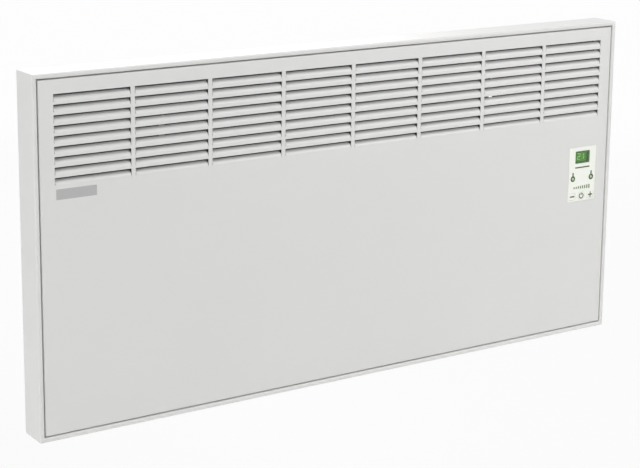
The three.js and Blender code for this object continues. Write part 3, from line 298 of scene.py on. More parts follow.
clear_pane, tree, shader, place = start_finish("clear_acrylic_pane", "#DCEBD4", 0.06)
shader.inputs["IOR"].default_value = 1.49
shader.inputs["Alpha"].default_value = 0.06
pane_haze = add_node(tree, "ShaderNodeTexNoise", None, {"Vector": place, "Scale": per_metre(9)})
vary(tree, shader, pane_haze.outputs["Fac"], ("#D8E8CF", "#E2F0DA"), (0.05, 0.08))

finishes["display_glass"] = lit_field
finishes["display_lens"] = clear_pane
finishes["digits"] = lit_digit
print("finishes in all:", len(finishes))

# %% [markdown]
# ## Every CAD piece gets its finish
#
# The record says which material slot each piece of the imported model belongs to. Pieces that never
# show, or show only through a slot, keep their CAD mesh and take their finish here. The ones that
# show from outside are made again further down, in finer meshes.

# %% Finish the CAD pieces
for part in frame["record"]["subparts"]:
    for material_slot in nodes[part["node"]].material_slots:
        material_slot.material = finishes[part["material_slot"]]
slot_of = {part["node"]: part["material_slot"] for part in frame["record"]["subparts"]}
print("finished", len(slot_of), "CAD pieces")

# %% [markdown]
# ## Helpers for meshes
#
# Almost everything on this heater is a folded sheet, a turned part or a plate with rounded corners.
# Each of them is a stack of closed outlines with the same number of points, joined by bands of
# faces and closed at both ends. One helper joins such a stack. Others draw the outlines, add the
# finished object, round its edges and cut holes in it.

# %% Outlines and stacks
CORNER_SIGNS = ((1, 1), (-1, 1), (-1, -1), (1, -1))
END_FLAT = 0.01  # left straight between two round ends, so that no two points coincide


def rounded_rectangle(width, height, radius, middle=(0, 0), steps=6):
    """The points of a rectangle with rounded corners, anticlockwise, in millimetres."""
    points = []
    for corner, (sign_x, sign_z) in enumerate(CORNER_SIGNS):
        for step in range(steps + 1):
            angle = (corner + step / steps) * math.pi / 2
            points.append((middle[0] + sign_x * (width / 2 - radius) + radius * math.cos(angle),
                           middle[1] + sign_z * (height / 2 - radius) + radius * math.sin(angle)))
    return points


def circle(radius, middle=(0, 0), sides=48):
    """The points of a circle, anticlockwise, in millimetres."""
    return [(middle[0] + radius * math.cos(2 * math.pi * i / sides),
             middle[1] + radius * math.sin(2 * math.pi * i / sides)) for i in range(sides)]


def joined_rings(rings, closed=False):
    """Joins a stack of rings by faces, and closes it with end caps or by its first ring."""
    count = len(rings[0])
    points = [point for ring in rings for point in ring]
    bands = len(rings) if closed else len(rings) - 1
    faces = []
    for band in range(bands):
        here, there = band * count, (band + 1) % len(rings) * count
        faces += [(here + i, here + (i + 1) % count, there + (i + 1) % count, there + i)
                  for i in range(count)]
    if not closed:
        faces += [tuple(range(count))[::-1], tuple(range(len(points) - count, len(points)))]
    return points, faces


def upright(outlines):
    """Stands a stack of (outline, y) up in the heater's frame, with x to the right and z up."""
    return joined_rings([[(x, y, z) for x, z in outline] for outline, y in outlines])


def merged(*parts):
    """Puts several (points, faces) into one."""
    points, faces = [], []
    for more_points, more_faces in parts:
        start = len(points)
        points += more_points
        faces += [tuple(start + i for i in face) for face in more_faces]
    return points, faces


def moved(part, dx=0, dy=0, dz=0):
    """A copy of (points, faces), moved by millimetres."""
    return [(x + dx, y + dy, z + dz) for x, y, z in part[0]], part[1]


print("a rounded rectangle has", len(rounded_rectangle(10, 10, 1)), "points")

# %% [markdown]
# A new object is made from the points and faces, in metres. Its body, its finish and the CAD nodes
# that it stands for are said in the same call, because every visible piece needs all three.
# Edges are rounded by a Bevel modifier: no pressed, moulded or coated edge is perfectly sharp, and
# the thin bright line that a rounded edge catches is what makes it look real. Holes are cut by a
# Boolean modifier, whose result is kept, so that the bevel after it runs round the holes as well.
# Where there is no bevel, a Weighted Normal modifier keeps large flat faces flat beside small
# curves.

# %% Objects, rounded edges and cut-outs
def evaluated_mesh(piece):
    """The mesh of an object with its modifiers worked in."""
    depsgraph = bpy.context.evaluated_depsgraph_get()
    return bpy.data.meshes.new_from_object(piece.evaluated_get(depsgraph))


def bare_object(name, part):
    """An object from (points, faces) in millimetres, with its faces turned outwards."""
    mesh = bpy.data.meshes.new(name)
    mesh.from_pydata([Vector(point) * MM for point in part[0]], [], part[1])
    shape = bmesh.new()
    shape.from_mesh(mesh)
    bmesh.ops.recalc_face_normals(shape, faces=shape.faces)
    shape.to_mesh(mesh)
    shape.free()
    return add_object(name, mesh)


def combined(piece, part, operation):
    """Joins (points, faces) to a piece or cuts them from it."""
    tool = bare_object("tool", part)
    boolean = piece.modifiers.new(operation, "BOOLEAN")
    boolean.operation, boolean.solver, boolean.object = operation, "EXACT", tool
    bpy.context.view_layer.update()
    piece.data = evaluated_mesh(piece)
    piece.modifiers.clear()
    bpy.data.objects.remove(tool)
    return piece


def dressed(piece, finish, stands_for=(), body="heater", edge=0, edge_steps=2, sharp=35):
    """Gives a piece its finish, body and rounded edges, and hides the CAD nodes it stands for."""
    piece.data.materials.clear()
    piece.data.materials.append(finishes[finish])
    piece.data.polygons.foreach_set("use_smooth", [True] * len(piece.data.polygons))
    if edge:
        bevel = piece.modifiers.new("rounded edges", "BEVEL")
        bevel.width, bevel.segments = edge * MM, edge_steps
        bevel.limit_method, bevel.angle_limit = "ANGLE", math.radians(sharp)
        bevel.harden_normals = True
    else:
        piece.data.set_sharp_from_angle(angle=math.radians(sharp))
        flat = piece.modifiers.new("flat faces stay flat", "WEIGHTED_NORMAL")
        flat.weight, flat.keep_sharp = 100, True
    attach(piece, body)
    if stands_for:
        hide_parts(*stands_for)
    print(piece.name, "has", len(piece.data.polygons), "faces before its modifiers")
    return piece


print("pieces can take", len(finishes), "finishes")

# %% [markdown]
# ## A folded sheet's outline
#
# Sheet steel can't be folded to a sharp corner: the outside of each fold is an arc about as wide as
# the sheet. This helper walks along the middle line of the sheet, puts an arc at every corner, and
# gives the closed outline of the sheet with its real thickness.

# %% Folded sheet
def folded_sheet(path, thickness, bend, steps=6):
    """The closed outline of a sheet folded along a path of corners, with arcs at the folds."""
    corners = [Vector(corner) for corner in path]
    middle = []
    for i, corner in enumerate(corners):
        before = (corner - corners[i - 1]).normalized() if i else None
        after = (corners[i + 1] - corner).normalized() if i + 1 < len(corners) else None
        if before is None or after is None:
            middle.append((corner, before or after))
            continue
        turn = math.atan2(before.x * after.y - before.y * after.x, before.dot(after))
        start = corner - before * bend * math.tan(abs(turn) / 2)
        side = Vector((-before.y, before.x)) * math.copysign(1, turn)
        centre = start + side * bend
        for step in range(steps + 1):
            turned = Matrix.Rotation(turn * step / steps, 2)
            middle.append((centre + turned @ (start - centre), turned @ before))
    half = thickness / 2
    left = [(p.x - d.y * half, p.y + d.x * half) for p, d in middle]
    right_side = [(p.x + d.y * half, p.y - d.x * half) for p, d in middle]
    return left + right_side[::-1]


print("a sheet with one fold has", len(folded_sheet([(0, 0), (9, 0), (9, 9)], 1, 1.5)), "points")

# %% [markdown]
# ## The case
#
# The case is one strip of 1 mm sheet that is folded in section and runs round the rectangle: back
# flange, side wall, narrow rim, and a fold behind the rim that the front panel rests on. It could
# be four plates pushed together, but sweeping the folded outline round the rectangle gives every
# fold its arc and lets the outer corners be slightly round, as welded and coated corners are.
#
# The floor has a row of slots, where cool air enters.

# %% Case frame
CASE_WIDTH, CASE_HEIGHT, CASE_BACK, CASE_FRONT = 900, 450, -16, -60
CASE_MIDDLE_Z = -140
SHEET, CASE_BEND = 1, 1.5  # the steel's thickness, and the folds' radius along its middle line
RIM, RIM_RETURN, SEAT_LIP, BACK_FLANGE = 6, 10, 6, 14
CASE_CORNER, LEAST_CASE_CORNER = 1.6, 0.25  # radius seen from the front: outside, and at the folds
INLET_PITCH, INLET_WIDTH, INLET_LENGTH, INLET_MIDDLE_Y = 25, 6, 22, -34
INLET_COUNT = 33
SCREW_X, SCREW_INSET, SCREW_HOLE = (-300, 0, 300), 7.5, 1.9


def swept_round(section, corner, steps=5):
    """Sweeps a section of (inset, y) round the case's rectangle, with rounded outer corners."""
    rings = [[(x, y, z + CASE_MIDDLE_Z) for x, z in
              rounded_rectangle(CASE_WIDTH - 2 * inset, CASE_HEIGHT - 2 * inset,
                                max(corner - inset, LEAST_CASE_CORNER), steps=steps)]
             for inset, y in section]
    return joined_rings(rings, closed=True)


half_sheet = SHEET / 2
case_section = folded_sheet([
    (BACK_FLANGE, CASE_BACK - half_sheet),
    (half_sheet, CASE_BACK - half_sheet),
    (half_sheet, CASE_FRONT + half_sheet),
    (RIM - half_sheet, CASE_FRONT + half_sheet),
    (RIM - half_sheet, CASE_FRONT + RIM_RETURN - half_sheet),
    (RIM + SEAT_LIP, CASE_FRONT + RIM_RETURN - half_sheet),
], SHEET, CASE_BEND)
floor_z = CASE_MIDDLE_Z - CASE_HEIGHT / 2
inlet_outline = rounded_rectangle(INLET_WIDTH, INLET_LENGTH, INLET_WIDTH / 2 - END_FLAT)
inlet_tool = joined_rings([[(x, y + INLET_MIDDLE_Y, z) for x, y in inlet_outline]
                           for z in (floor_z - SHEET, floor_z + 2 * SHEET)])
inlet_tools = [moved(inlet_tool, dx=(i - (INLET_COUNT - 1) / 2) * INLET_PITCH)
               for i in range(INLET_COUNT)]
screw_places = [(x, CASE_MIDDLE_Z + sign * (CASE_HEIGHT / 2 - SCREW_INSET))
                for x in SCREW_X for sign in (1, -1)]
screw_holes = [circle(SCREW_HOLE, place, sides=16) for place in screw_places]
screw_tools = [upright([(outline, CASE_BACK - 2 * SHEET), (outline, CASE_BACK + SHEET)])
               for outline in screw_holes]
case = bare_object("case_shell", swept_round(case_section, CASE_CORNER))
combined(case, merged(*inlet_tools, *screw_tools), "DIFFERENCE")
dressed(case, "white_powder_coat", ["case_frame"])

# %% [markdown]
# ## The louvred front panel
#
# The front panel is one sheet. A punch cuts three sides of each louvre and presses the blade
# inwards: the blade stays joined along its lower edge, bends back, and leaves a slit under the
# strip above it. Its ends are open.
#
# The grille could be drawn with a bump texture or cut with 72 Booleans. It is built instead as a
# grid of flat faces with cells left out, and a bent strip rising from the lower edge of each cell.
# A wide bend of 5.8 mm gives each blade the long, soft shading that runs over most of its height.
# Only the outer skin is made: a Solidify modifier gives the sheet its thickness everywhere at once,
# so the cut edges and the blades come out as thick as the panel, and a Bevel rounds them all.

# %% Front panel: sizes and break lines
PANEL_FRONT, PANEL_BACK_EDGE = -59.4, -51.3
PANEL_INSET, PANEL_FOLD = 7.6, 1.3  # to the panel's side, and the outer radius of its fold
LOUVRE_COLUMNS, LOUVRE_ROWS = 8, 9
LOUVRE_LENGTH, LOUVRE_PITCH_X, LOUVRE_PITCH_Z = 101, 106.5, 12.5
LOUVRE_HEIGHT, LOUVRE_END_GAP = 8.8, 0.7
LOUVRE_LEFT, LOUVRE_TOP = -423.25, 60
BLADE_BEND, BLADE_LEAN, BLADE_DEPTH = 5.8, math.radians(69), 5.75
BLADE_STEPS = 8
FASCIA_MIDDLE, FASCIA_SIZE, FASCIA_GAP = (398.25, -131), (50, 79), 0.3
FASCIA_CORNER = 2
FOLD_STEPS, TOUCHING = 6, 1e-7  # TOUCHING is in metres

panel_half_x = CASE_WIDTH / 2 - PANEL_INSET - PANEL_FOLD
panel_half_z = CASE_HEIGHT / 2 - PANEL_INSET - PANEL_FOLD
column_edges = [LOUVRE_LEFT + LOUVRE_PITCH_X * c for c in range(LOUVRE_COLUMNS)]
row_edges = [LOUVRE_TOP - LOUVRE_PITCH_Z * r - LOUVRE_HEIGHT for r in range(LOUVRE_ROWS)]
hole_half = [size / 2 + FASCIA_GAP for size in FASCIA_SIZE]
hole_x = [FASCIA_MIDDLE[0] + sign * hole_half[0] for sign in (-1, 1)]
hole_z = [FASCIA_MIDDLE[1] + sign * hole_half[1] for sign in (-1, 1)]
hole_corner = FASCIA_CORNER + FASCIA_GAP
arc_x = [hole_x[0] + hole_corner, hole_x[1] - hole_corner]
arc_z = [hole_z[0] + hole_corner, hole_z[1] - hole_corner]


def lines(*values):
    """Break lines in order, each once, rounded so that they can be looked up."""
    return sorted({round(value, 3) for value in values})


break_x = lines(-panel_half_x, panel_half_x, *hole_x, *arc_x, *(
    left + offset for left in column_edges
    for offset in (0, LOUVRE_END_GAP, LOUVRE_LENGTH - LOUVRE_END_GAP, LOUVRE_LENGTH)))
break_z = lines(CASE_MIDDLE_Z - panel_half_z, CASE_MIDDLE_Z + panel_half_z, *hole_z, *arc_z, *(
    low + offset for low in row_edges for offset in (0, LOUVRE_HEIGHT)))
print(len(break_x), "lines across and", len(break_z), "lines up the panel")

# %% Front panel: skin
def between(value, edges):
    """Whether a value lies between two edges."""
    return edges[0] < value < edges[1]


def is_cut(x, z):
    """Whether the middle of a grid cell lies in a louvre's cut or in the keypad's hole."""
    if between(x, hole_x) and between(z, hole_z):
        return True
    in_column = any(left < x < left + LOUVRE_LENGTH for left in column_edges)
    return in_column and any(low < z < low + LOUVRE_HEIGHT for low in row_edges)


def blade_line():
    """The blade's outer line as (depth, rise): an arc at the root, then a straight slope."""
    line = [(BLADE_BEND * (1 - math.cos(BLADE_LEAN * i / BLADE_STEPS)),
             BLADE_BEND * math.sin(BLADE_LEAN * i / BLADE_STEPS)) for i in range(BLADE_STEPS + 1)]
    slope = BLADE_DEPTH - line[-1][0]
    return line + [(BLADE_DEPTH, line[-1][1] + slope / math.tan(BLADE_LEAN))]


skin = bmesh.new()
grid = {(x, z): skin.verts.new((x * MM, PANEL_FRONT * MM, z * MM))
        for x in break_x for z in break_z}


def crossing(x, z):
    """The sheet's point where two break lines cross."""
    return grid[round(x, 3), round(z, 3)]


for x0, x1 in zip(break_x, break_x[1:]):
    for z0, z1 in zip(break_z, break_z[1:]):
        if not is_cut((x0 + x1) / 2, (z0 + z1) / 2):
            skin.faces.new([grid[x0, z0], grid[x1, z0], grid[x1, z1], grid[x0, z1]])
for left in column_edges:
    ends = lines(left + LOUVRE_END_GAP, left + LOUVRE_LENGTH - LOUVRE_END_GAP)
    across = [x for x in break_x if ends[0] <= x <= ends[1]]  # every point the root shares
    for low in row_edges:
        lower = [crossing(x, low) for x in across]
        for depth, rise in blade_line()[1:]:
            upper = [skin.verts.new((x * MM, (PANEL_FRONT + depth) * MM, (low + rise) * MM))
                     for x in across]
            for corners in zip(lower, lower[1:], upper[1:], upper):
                skin.faces.new(corners)
            lower = upper
for vertex in [v for v in skin.verts if not v.link_faces]:
    skin.verts.remove(vertex)
print(len(skin.faces), "faces in the flat sheet and its blades")

# %% [markdown]
# The keypad's hole has round corners, so a small fan of faces fills each corner of its square
# cut-out. The sheet's outer edge is then folded back: its boundary is extruded in steps along an
# arc, and straight back to where the panel rests on the case.

# %% Front panel: hole corners and folded edge
for i, sign_x in enumerate((-1, 1)):
    for j, sign_z in enumerate((-1, 1)):
        arc = [skin.verts.new(((arc_x[i] + sign_x * hole_corner * math.cos(a)) * MM,
                               PANEL_FRONT * MM,
                               (arc_z[j] + sign_z * hole_corner * math.sin(a)) * MM))
               for a in (math.pi / 8 * step for step in (1, 2, 3))]
        strip = lines(arc_x[i], hole_x[i])
        shared = [crossing(x, hole_z[j]) for x in break_x if strip[0] < x < strip[1]]
        fan = [crossing(hole_x[i], hole_z[j]), crossing(hole_x[i], arc_z[j]), *arc,
               crossing(arc_x[i], hole_z[j]), *shared[::sign_x]]
        skin.faces.new(fan if sign_x * sign_z < 0 else fan[::-1])

fold_line = [(PANEL_FOLD * math.sin(a), PANEL_FOLD * (1 - math.cos(a)))
             for a in (math.pi / 2 * i / FOLD_STEPS for i in range(1, FOLD_STEPS + 1))]
fold_line.append((PANEL_FOLD, PANEL_BACK_EDGE - PANEL_FRONT))
side = (panel_half_x * MM, panel_half_z * MM, CASE_MIDDLE_Z * MM)


def on_side(vertex):
    """Which way a point of the sheet's outline faces: (x, z), each -1, 0 or 1."""
    across, high = vertex.co.x, vertex.co.z - side[2]
    return (round(across / side[0], 6) if abs(abs(across) - side[0]) < TOUCHING else 0,
            round(high / side[1], 6) if abs(abs(high) - side[1]) < TOUCHING else 0)


facing = {v: on_side(v) for v in skin.verts if any(on_side(v))}
start_place = {v: v.co.copy() for v in facing}
rim_edges = [e for e in skin.edges if e.is_boundary and all(v in facing for v in e.verts)
             and any(a and a == b for a, b in zip(facing[e.verts[0]], facing[e.verts[1]]))]
for out, back in fold_line:
    made = bmesh.ops.extrude_edge_only(skin, edges=rim_edges)["geom"]
    new_verts = [g for g in made if isinstance(g, bmesh.types.BMVert)]
    old_verts = {v for e in rim_edges for v in e.verts}
    for vertex in new_verts:
        neighbours = [e.other_vert(vertex) for e in vertex.link_edges]
        old = next(v for v in neighbours if v in old_verts)
        facing[vertex], start_place[vertex] = facing[old], start_place[old]
        way_x, way_z = facing[old]
        vertex.co = start_place[old] + Vector((way_x * out, back, way_z * out)) * MM
    fresh = set(new_verts)
    rim_edges = [g for g in made
                 if isinstance(g, bmesh.types.BMEdge) and all(v in fresh for v in g.verts)]
print(len(skin.faces), "faces with the folded edge")

# %% Front panel: thickness and edges
bmesh.ops.recalc_face_normals(skin, faces=skin.faces)
widest = max(skin.faces, key=lambda face: face.calc_area())
if widest.normal.y > 0:
    bmesh.ops.reverse_faces(skin, faces=skin.faces)
panel_mesh = bpy.data.meshes.new("louvred_panel")
skin.to_mesh(panel_mesh)
skin.free()
panel = add_object("louvred_panel", panel_mesh)
thickness = panel.modifiers.new("sheet", "SOLIDIFY")
thickness.thickness, thickness.offset, thickness.use_even_offset = SHEET * MM, -1, True
dressed(panel, "white_powder_coat", ["front_panel"], edge=0.22)

# %% [markdown]
# Two welded studs behind the panel carry the thermostat. They hardly ever show, but the thermostat
# needs them, and a turned part is quick to make: its outline lists radii and distances along its
# axis, and every pair becomes one ring.

# %% Turned parts and the studs
STUD_PROFILE, STUD_OFFSET = [(2, -58.9), (2, -49.3), (1.5, -48.8)], 52


def turned(profile, middle=(0, 0), axis="y", sides=40):
    """A turned part from (radius, distance) pairs, round a line along y or x."""
    rings = []
    for radius, along in profile:
        ring = circle(radius, middle, sides)
        rings.append([(u, along, v) if axis == "y" else (along, u, v) for u, v in ring])
    return joined_rings(rings)


studs = merged(*(turned(STUD_PROFILE, (FASCIA_MIDDLE[0], FASCIA_MIDDLE[1] + dz))
                 for dz in (STUD_OFFSET, -STUD_OFFSET)))
dressed(bare_object("thermostat_studs", studs), "zinc_plated_steel")

# %% [markdown]
# ## The keypad
#
# The keypad is a white plate that snaps into the panel from behind: a visible face and a wider
# flange. One stack of rounded rectangles makes both, with a small arc at the front edge. The holes
# for the display, the keys and the two lights are cut from it, and a bevel rounds their edges.

# %% Keypad plate
FASCIA_FRONT, FASCIA_STEP, FASCIA_REAR = -59.6, -58.1, -56.6
FASCIA_EDGE, LEAST_CORNER = 0.25, 0.05  # radius of the front edge, and of any outline's corners
FLANGE_SIZE, FLANGE_CORNER = (64, 93), 3
WINDOW_SIZE, WINDOW_CORNER, WINDOW_MIDDLE = (27, 18), 0.8, (398.25, -106.5)
KEY_SIZE, KEY_CORNER, KEY_Z, KEY_GAP = (12, 10), 3.5, -163.1, 0.35
KEY_X = {"minus": 381.25, "power": 398.25, "plus": 415.25}
LIGHT_X, LIGHT_Z, LIGHT_HOLE = {"left": 381.25, "right": 415.25}, -137, 1.8


def rounded_front(size, corner, front, rear, middle, radius, steps=4):
    """The stack of a plate whose front edge is an arc of a given radius."""
    stack = [(rounded_rectangle(*size, corner, middle), rear)]
    for step in range(steps + 1):
        angle = math.pi / 2 * step / steps
        inset, y = radius * (1 - math.cos(angle)), front + radius * (1 - math.sin(angle))
        stack.append((rounded_rectangle(size[0] - 2 * inset, size[1] - 2 * inset,
                                        max(corner - inset, LEAST_CORNER), middle), y))
    return stack


def hole(outline):
    """A cutting body that passes right through the keypad plate."""
    return upright([(outline, FASCIA_FRONT - 1), (outline, FASCIA_REAR + 1)])


plate = bare_object("keypad_plate", upright(
    [(rounded_rectangle(*FLANGE_SIZE, FLANGE_CORNER, FASCIA_MIDDLE), FASCIA_REAR),
     (rounded_rectangle(*FLANGE_SIZE, FLANGE_CORNER, FASCIA_MIDDLE), FASCIA_STEP)]
    + rounded_front(FASCIA_SIZE, FASCIA_CORNER, FASCIA_FRONT, FASCIA_STEP, FASCIA_MIDDLE,
                    FASCIA_EDGE)))
key_hole = [size + 2 * KEY_GAP for size in KEY_SIZE]
holes = [rounded_rectangle(*WINDOW_SIZE, WINDOW_CORNER, WINDOW_MIDDLE)]
holes += [rounded_rectangle(*key_hole, KEY_CORNER + KEY_GAP, (x, KEY_Z)) for x in KEY_X.values()]
holes += [circle(LIGHT_HOLE, (x, LIGHT_Z), sides=32) for x in LIGHT_X.values()]
combined(plate, merged(*map(hole, holes)), "DIFFERENCE")
dressed(plate, "white_plastic", ["control_fascia"], edge=0.12)

# %% [markdown]
# ## Keys and lights
#
# Each key is a cap with a soft edge, a flange that keeps it in the plate and a stem that reaches
# its switch. Keys that moved with the plate would be wrong, so each one rides on its own body. The
# two lights are frosted rods with domed ends.

# %% Keys and lights
KEY_FRONT, KEY_FLANGE_FRONT, KEY_FLANGE_REAR, KEY_STEM_END = -59.6, -56.3, -55.3, -52.8
KEY_FLANGE_SIZE, KEY_EDGE = (14.4, 12.4), 0.45
KEY_STEM = [(1.6, KEY_FLANGE_REAR), (1.6, KEY_STEM_END + 0.3), (1.3, KEY_STEM_END)]
LIGHT_ROD = [(0.4, -59.6), (0.9, -59.55), (1.3, -59.4), (1.5, -59.15), (1.5, -56.3), (2.5, -56.3),
             (2.5, -50.7)]
for name, x in KEY_X.items():
    middle = (x, KEY_Z)
    cap = upright(
        [(rounded_rectangle(*KEY_FLANGE_SIZE, KEY_CORNER, middle), KEY_FLANGE_REAR),
         (rounded_rectangle(*KEY_FLANGE_SIZE, KEY_CORNER, middle), KEY_FLANGE_FRONT)]
        + rounded_front(KEY_SIZE, KEY_CORNER, KEY_FRONT, KEY_FLANGE_FRONT, middle, KEY_EDGE))
    key = bare_object(f"{name}_key", merged(cap, turned(KEY_STEM, middle)))
    dressed(key, "white_plastic", [f"key_{name}"], body=f"key_{name}", edge=0.1, sharp=50)

for name, x in LIGHT_X.items():
    rod = bare_object(f"{name}_light_guide", turned(LIGHT_ROD, (x, LIGHT_Z)))
    dressed(rod, "indicator_lens", [f"indicator_light_{name}"])

# %% [markdown]
# ## The display
#
# The display sits a few millimetres behind its window. A dark green bezel lines the opening, so
# that no white wall shows beside the lit field, and a clear pane closes it in front. The digits are
# drawn as the seven bars of a real display, each a thin six-sided plate on the glass. They show a
# room temperature, which every such heater does.

# %% Display: pane, bezel and glass
PANE_FRONT, PANE_REAR, PANE_GAP, PANE_CORNER, PANE_EDGE = -59.4, -58.6, 0.3, 0.6, 0.15
BEZEL_FLANGE, BEZEL_OPENING, BEZEL_REAR, BEZEL_SHEET = (30, 21), (22.4, 13.6), -55.3, 1
GLASS_SIZE, GLASS_CORNER, GLASS_EDGE = (32, 23), 1, 0.2
GLASS_FRONT, GLASS_REAR = -55.0, -50.7
pane_size = [size - 2 * PANE_GAP for size in WINDOW_SIZE]
pane = upright(rounded_front(pane_size, PANE_CORNER, PANE_FRONT, PANE_REAR, WINDOW_MIDDLE,
                             PANE_EDGE))
dressed(bare_object("display_pane", pane), "display_lens", ["display_window"])

bezel_outline = rounded_rectangle(*pane_size, PANE_CORNER, WINDOW_MIDDLE)
bezel_flange = rounded_rectangle(*BEZEL_FLANGE, PANE_CORNER, WINDOW_MIDDLE)
bezel = bare_object("display_bezel", upright([
    (bezel_flange, BEZEL_REAR), (bezel_flange, BEZEL_REAR - BEZEL_SHEET),
    (bezel_outline, BEZEL_REAR - BEZEL_SHEET), (bezel_outline, PANE_REAR + 0.02)]))
opening = rounded_rectangle(*BEZEL_OPENING, WINDOW_CORNER, WINDOW_MIDDLE)
combined(bezel, upright([(opening, CASE_FRONT), (opening, BEZEL_REAR + BEZEL_SHEET)]),
         "DIFFERENCE")
dressed(bezel, "bezel", edge=0.15)

glass = upright(rounded_front(GLASS_SIZE, GLASS_CORNER, GLASS_FRONT, GLASS_REAR, WINDOW_MIDDLE,
                              GLASS_EDGE))
dressed(bare_object("display_glass", glass), "display_glass", ["display_module"])

# %% Display: digits
DIGIT_WIDTH, DIGIT_HEIGHT, DIGIT_GAP = 4.6, 8.4, 2.2
BAR, BAR_GAP, BAR_DEPTHS = 0.95, 0.35, (0.01, 0.06)  # depths: from the glass to each of its faces
SEGMENTS = {"top": (0, 1, "flat"), "middle": (0, 0, "flat"), "bottom": (0, -1, "flat"),
            "upper left": (-1, 0.5, "tall"), "upper right": (1, 0.5, "tall"),
            "lower left": (-1, -0.5, "tall"), "lower right": (1, -0.5, "tall")}
LIT = {"2": ("top", "upper right", "middle", "lower left", "bottom"),
       "1": ("upper right", "lower right")}


def segment(centre_x, centre_z, way):
    """One bar of a digit: a thin plate with pointed ends."""
    length = (DIGIT_WIDTH if way == "flat" else DIGIT_HEIGHT / 2) - BAR_GAP
    half, tip = BAR / 2, length / 2
    outline = [(-tip, 0), (half - tip, -half), (tip - half, -half), (tip, 0),
               (tip - half, half), (half - tip, half)]
    if way == "tall":
        outline = [(-z, x) for x, z in outline]
    placed = [(x + centre_x, z + centre_z) for x, z in outline]
    return upright([(placed, GLASS_FRONT - depth) for depth in BAR_DEPTHS])


bars = []
for number, digit in enumerate("21"):
    digit_x = WINDOW_MIDDLE[0] + (number - 0.5) * (DIGIT_WIDTH + DIGIT_GAP)
    for bar in LIT[digit]:
        side_x, side_z, way = SEGMENTS[bar]
        bars.append(segment(digit_x + side_x * DIGIT_WIDTH / 2,
                            WINDOW_MIDDLE[1] + side_z * DIGIT_HEIGHT / 2, way))
dressed(bare_object("display_digits", merged(*bars)), "digits")

# %% [markdown]
# ## Printing
#
# The signs are screen printed in olive ink: a minus, the power ring and a plus on the keys, and a
# bulb with a stem round each light. Each could be a picture on the surface. Thin plates of ink stay
# crisp at any distance instead, and the ones on the keys ride with their keys. Between them the
# plate carries a plain rule and a scale of short bars.

# %% Printing with thin plates
INK_BACK, INK_FRONT = 0.004, 0.03  # from the printed surface to each face of the ink


def printed(outline, front):
    """A plate of ink on a surface whose front is at y = front."""
    return upright([(outline, front - INK_BACK), (outline, front - INK_FRONT)])


def printed_ring(middle, outer, inner, front, gap=0.0, sides=40):
    """A printed ring, closed or open at the top by a gap in degrees."""
    if not gap:
        back, face = front - INK_BACK, front - INK_FRONT
        walls = ((outer, back), (outer, face), (inner, face), (inner, back))
        return joined_rings([[(x, y, z) for x, z in circle(r, middle, sides)] for r, y in walls],
                            closed=True)
    start, sweep = math.radians(90 + gap / 2), math.radians(360 - gap)
    angles = [start + sweep * i / sides for i in range(sides + 1)]
    rim = [(middle[0] + r * math.cos(a), middle[1] + r * math.sin(a))
           for r, way in ((outer, angles), (inner, angles[::-1])) for a in way]
    return printed(rim, front)


def printed_bar(middle, width, height, front):
    """A printed bar with slightly round corners."""
    return printed(rounded_rectangle(width, height, 0.2, middle, 3), front)


def key_bar(key, rise, size):
    """A printed bar on a key, raised from the key's middle."""
    return printed_bar((KEY_X[key], KEY_Z + rise), *size, KEY_FRONT)


print("ink is", round(INK_FRONT - INK_BACK, 3), "mm thick")

# %% Printed signs
MINUS_SIZE, PLUS_SIZE, PLUS_ARM, PLUS_ARM_RISE = (8.6, 2), (8, 1.9), (1.9, 3.06), 2.5
POWER_RING, POWER_GAP, POWER_STEM, POWER_STEM_RISE = (4.4, 2.8), 56, (1.6, 4), 2.5
BULB_RING, BULB_STEM, BULB_STEM_RISE = (4.2, 1.9), (2.4, 4.8), 6.6
RULE_SIZE, RULE_Z = (27, 1.8), -121.3
SCALE_COUNT, SCALE_PITCH, SCALE_WIDTH, SCALE_Z = 8, 4, 2.2, -150.6
SCALE_LOWEST, SCALE_STEP = 2.4, 0.5  # the first bar's height, and what each next one adds
signs = {
    "minus": [key_bar("minus", 0, MINUS_SIZE)],
    "power": [printed_ring((KEY_X["power"], KEY_Z), *POWER_RING, KEY_FRONT, gap=POWER_GAP),
              key_bar("power", POWER_STEM_RISE, POWER_STEM)],
    "plus": [key_bar("plus", 0, PLUS_SIZE), key_bar("plus", PLUS_ARM_RISE, PLUS_ARM),
             key_bar("plus", -PLUS_ARM_RISE, PLUS_ARM)],
}
for name, parts in signs.items():
    dressed(bare_object(f"{name}_sign", merged(*parts)), "ink", body=f"key_{name}")

bulbs = []
for x in LIGHT_X.values():
    bulbs.append(printed_ring((x, LIGHT_Z), *BULB_RING, FASCIA_FRONT, sides=36))
    bulbs.append(printed_bar((x, LIGHT_Z + BULB_STEM_RISE), *BULB_STEM, FASCIA_FRONT))
dressed(bare_object("light_signs", merged(*bulbs)), "ink")

rule = printed_bar((FASCIA_MIDDLE[0], RULE_Z), *RULE_SIZE, FASCIA_FRONT)
dressed(bare_object("keypad_rule", rule), "ink")
scale_left = FASCIA_MIDDLE[0] - SCALE_PITCH * (SCALE_COUNT - 1) / 2
scale_bars = [printed_bar((scale_left + SCALE_PITCH * i, SCALE_Z), SCALE_WIDTH,
                          SCALE_LOWEST + SCALE_STEP * i, FASCIA_FRONT)
              for i in range(SCALE_COUNT)]
dressed(bare_object("keypad_scale", merged(*scale_bars)), "ink_light")

# %% [markdown]
# ## The foil strip
#
# A plain strip of satin foil is stuck to the panel under the left end of the louvres. It could be a
# patch of colour on the sheet. But its rounded corners and its edge catch the light, so it is a
# real plate of 0.15 mm.

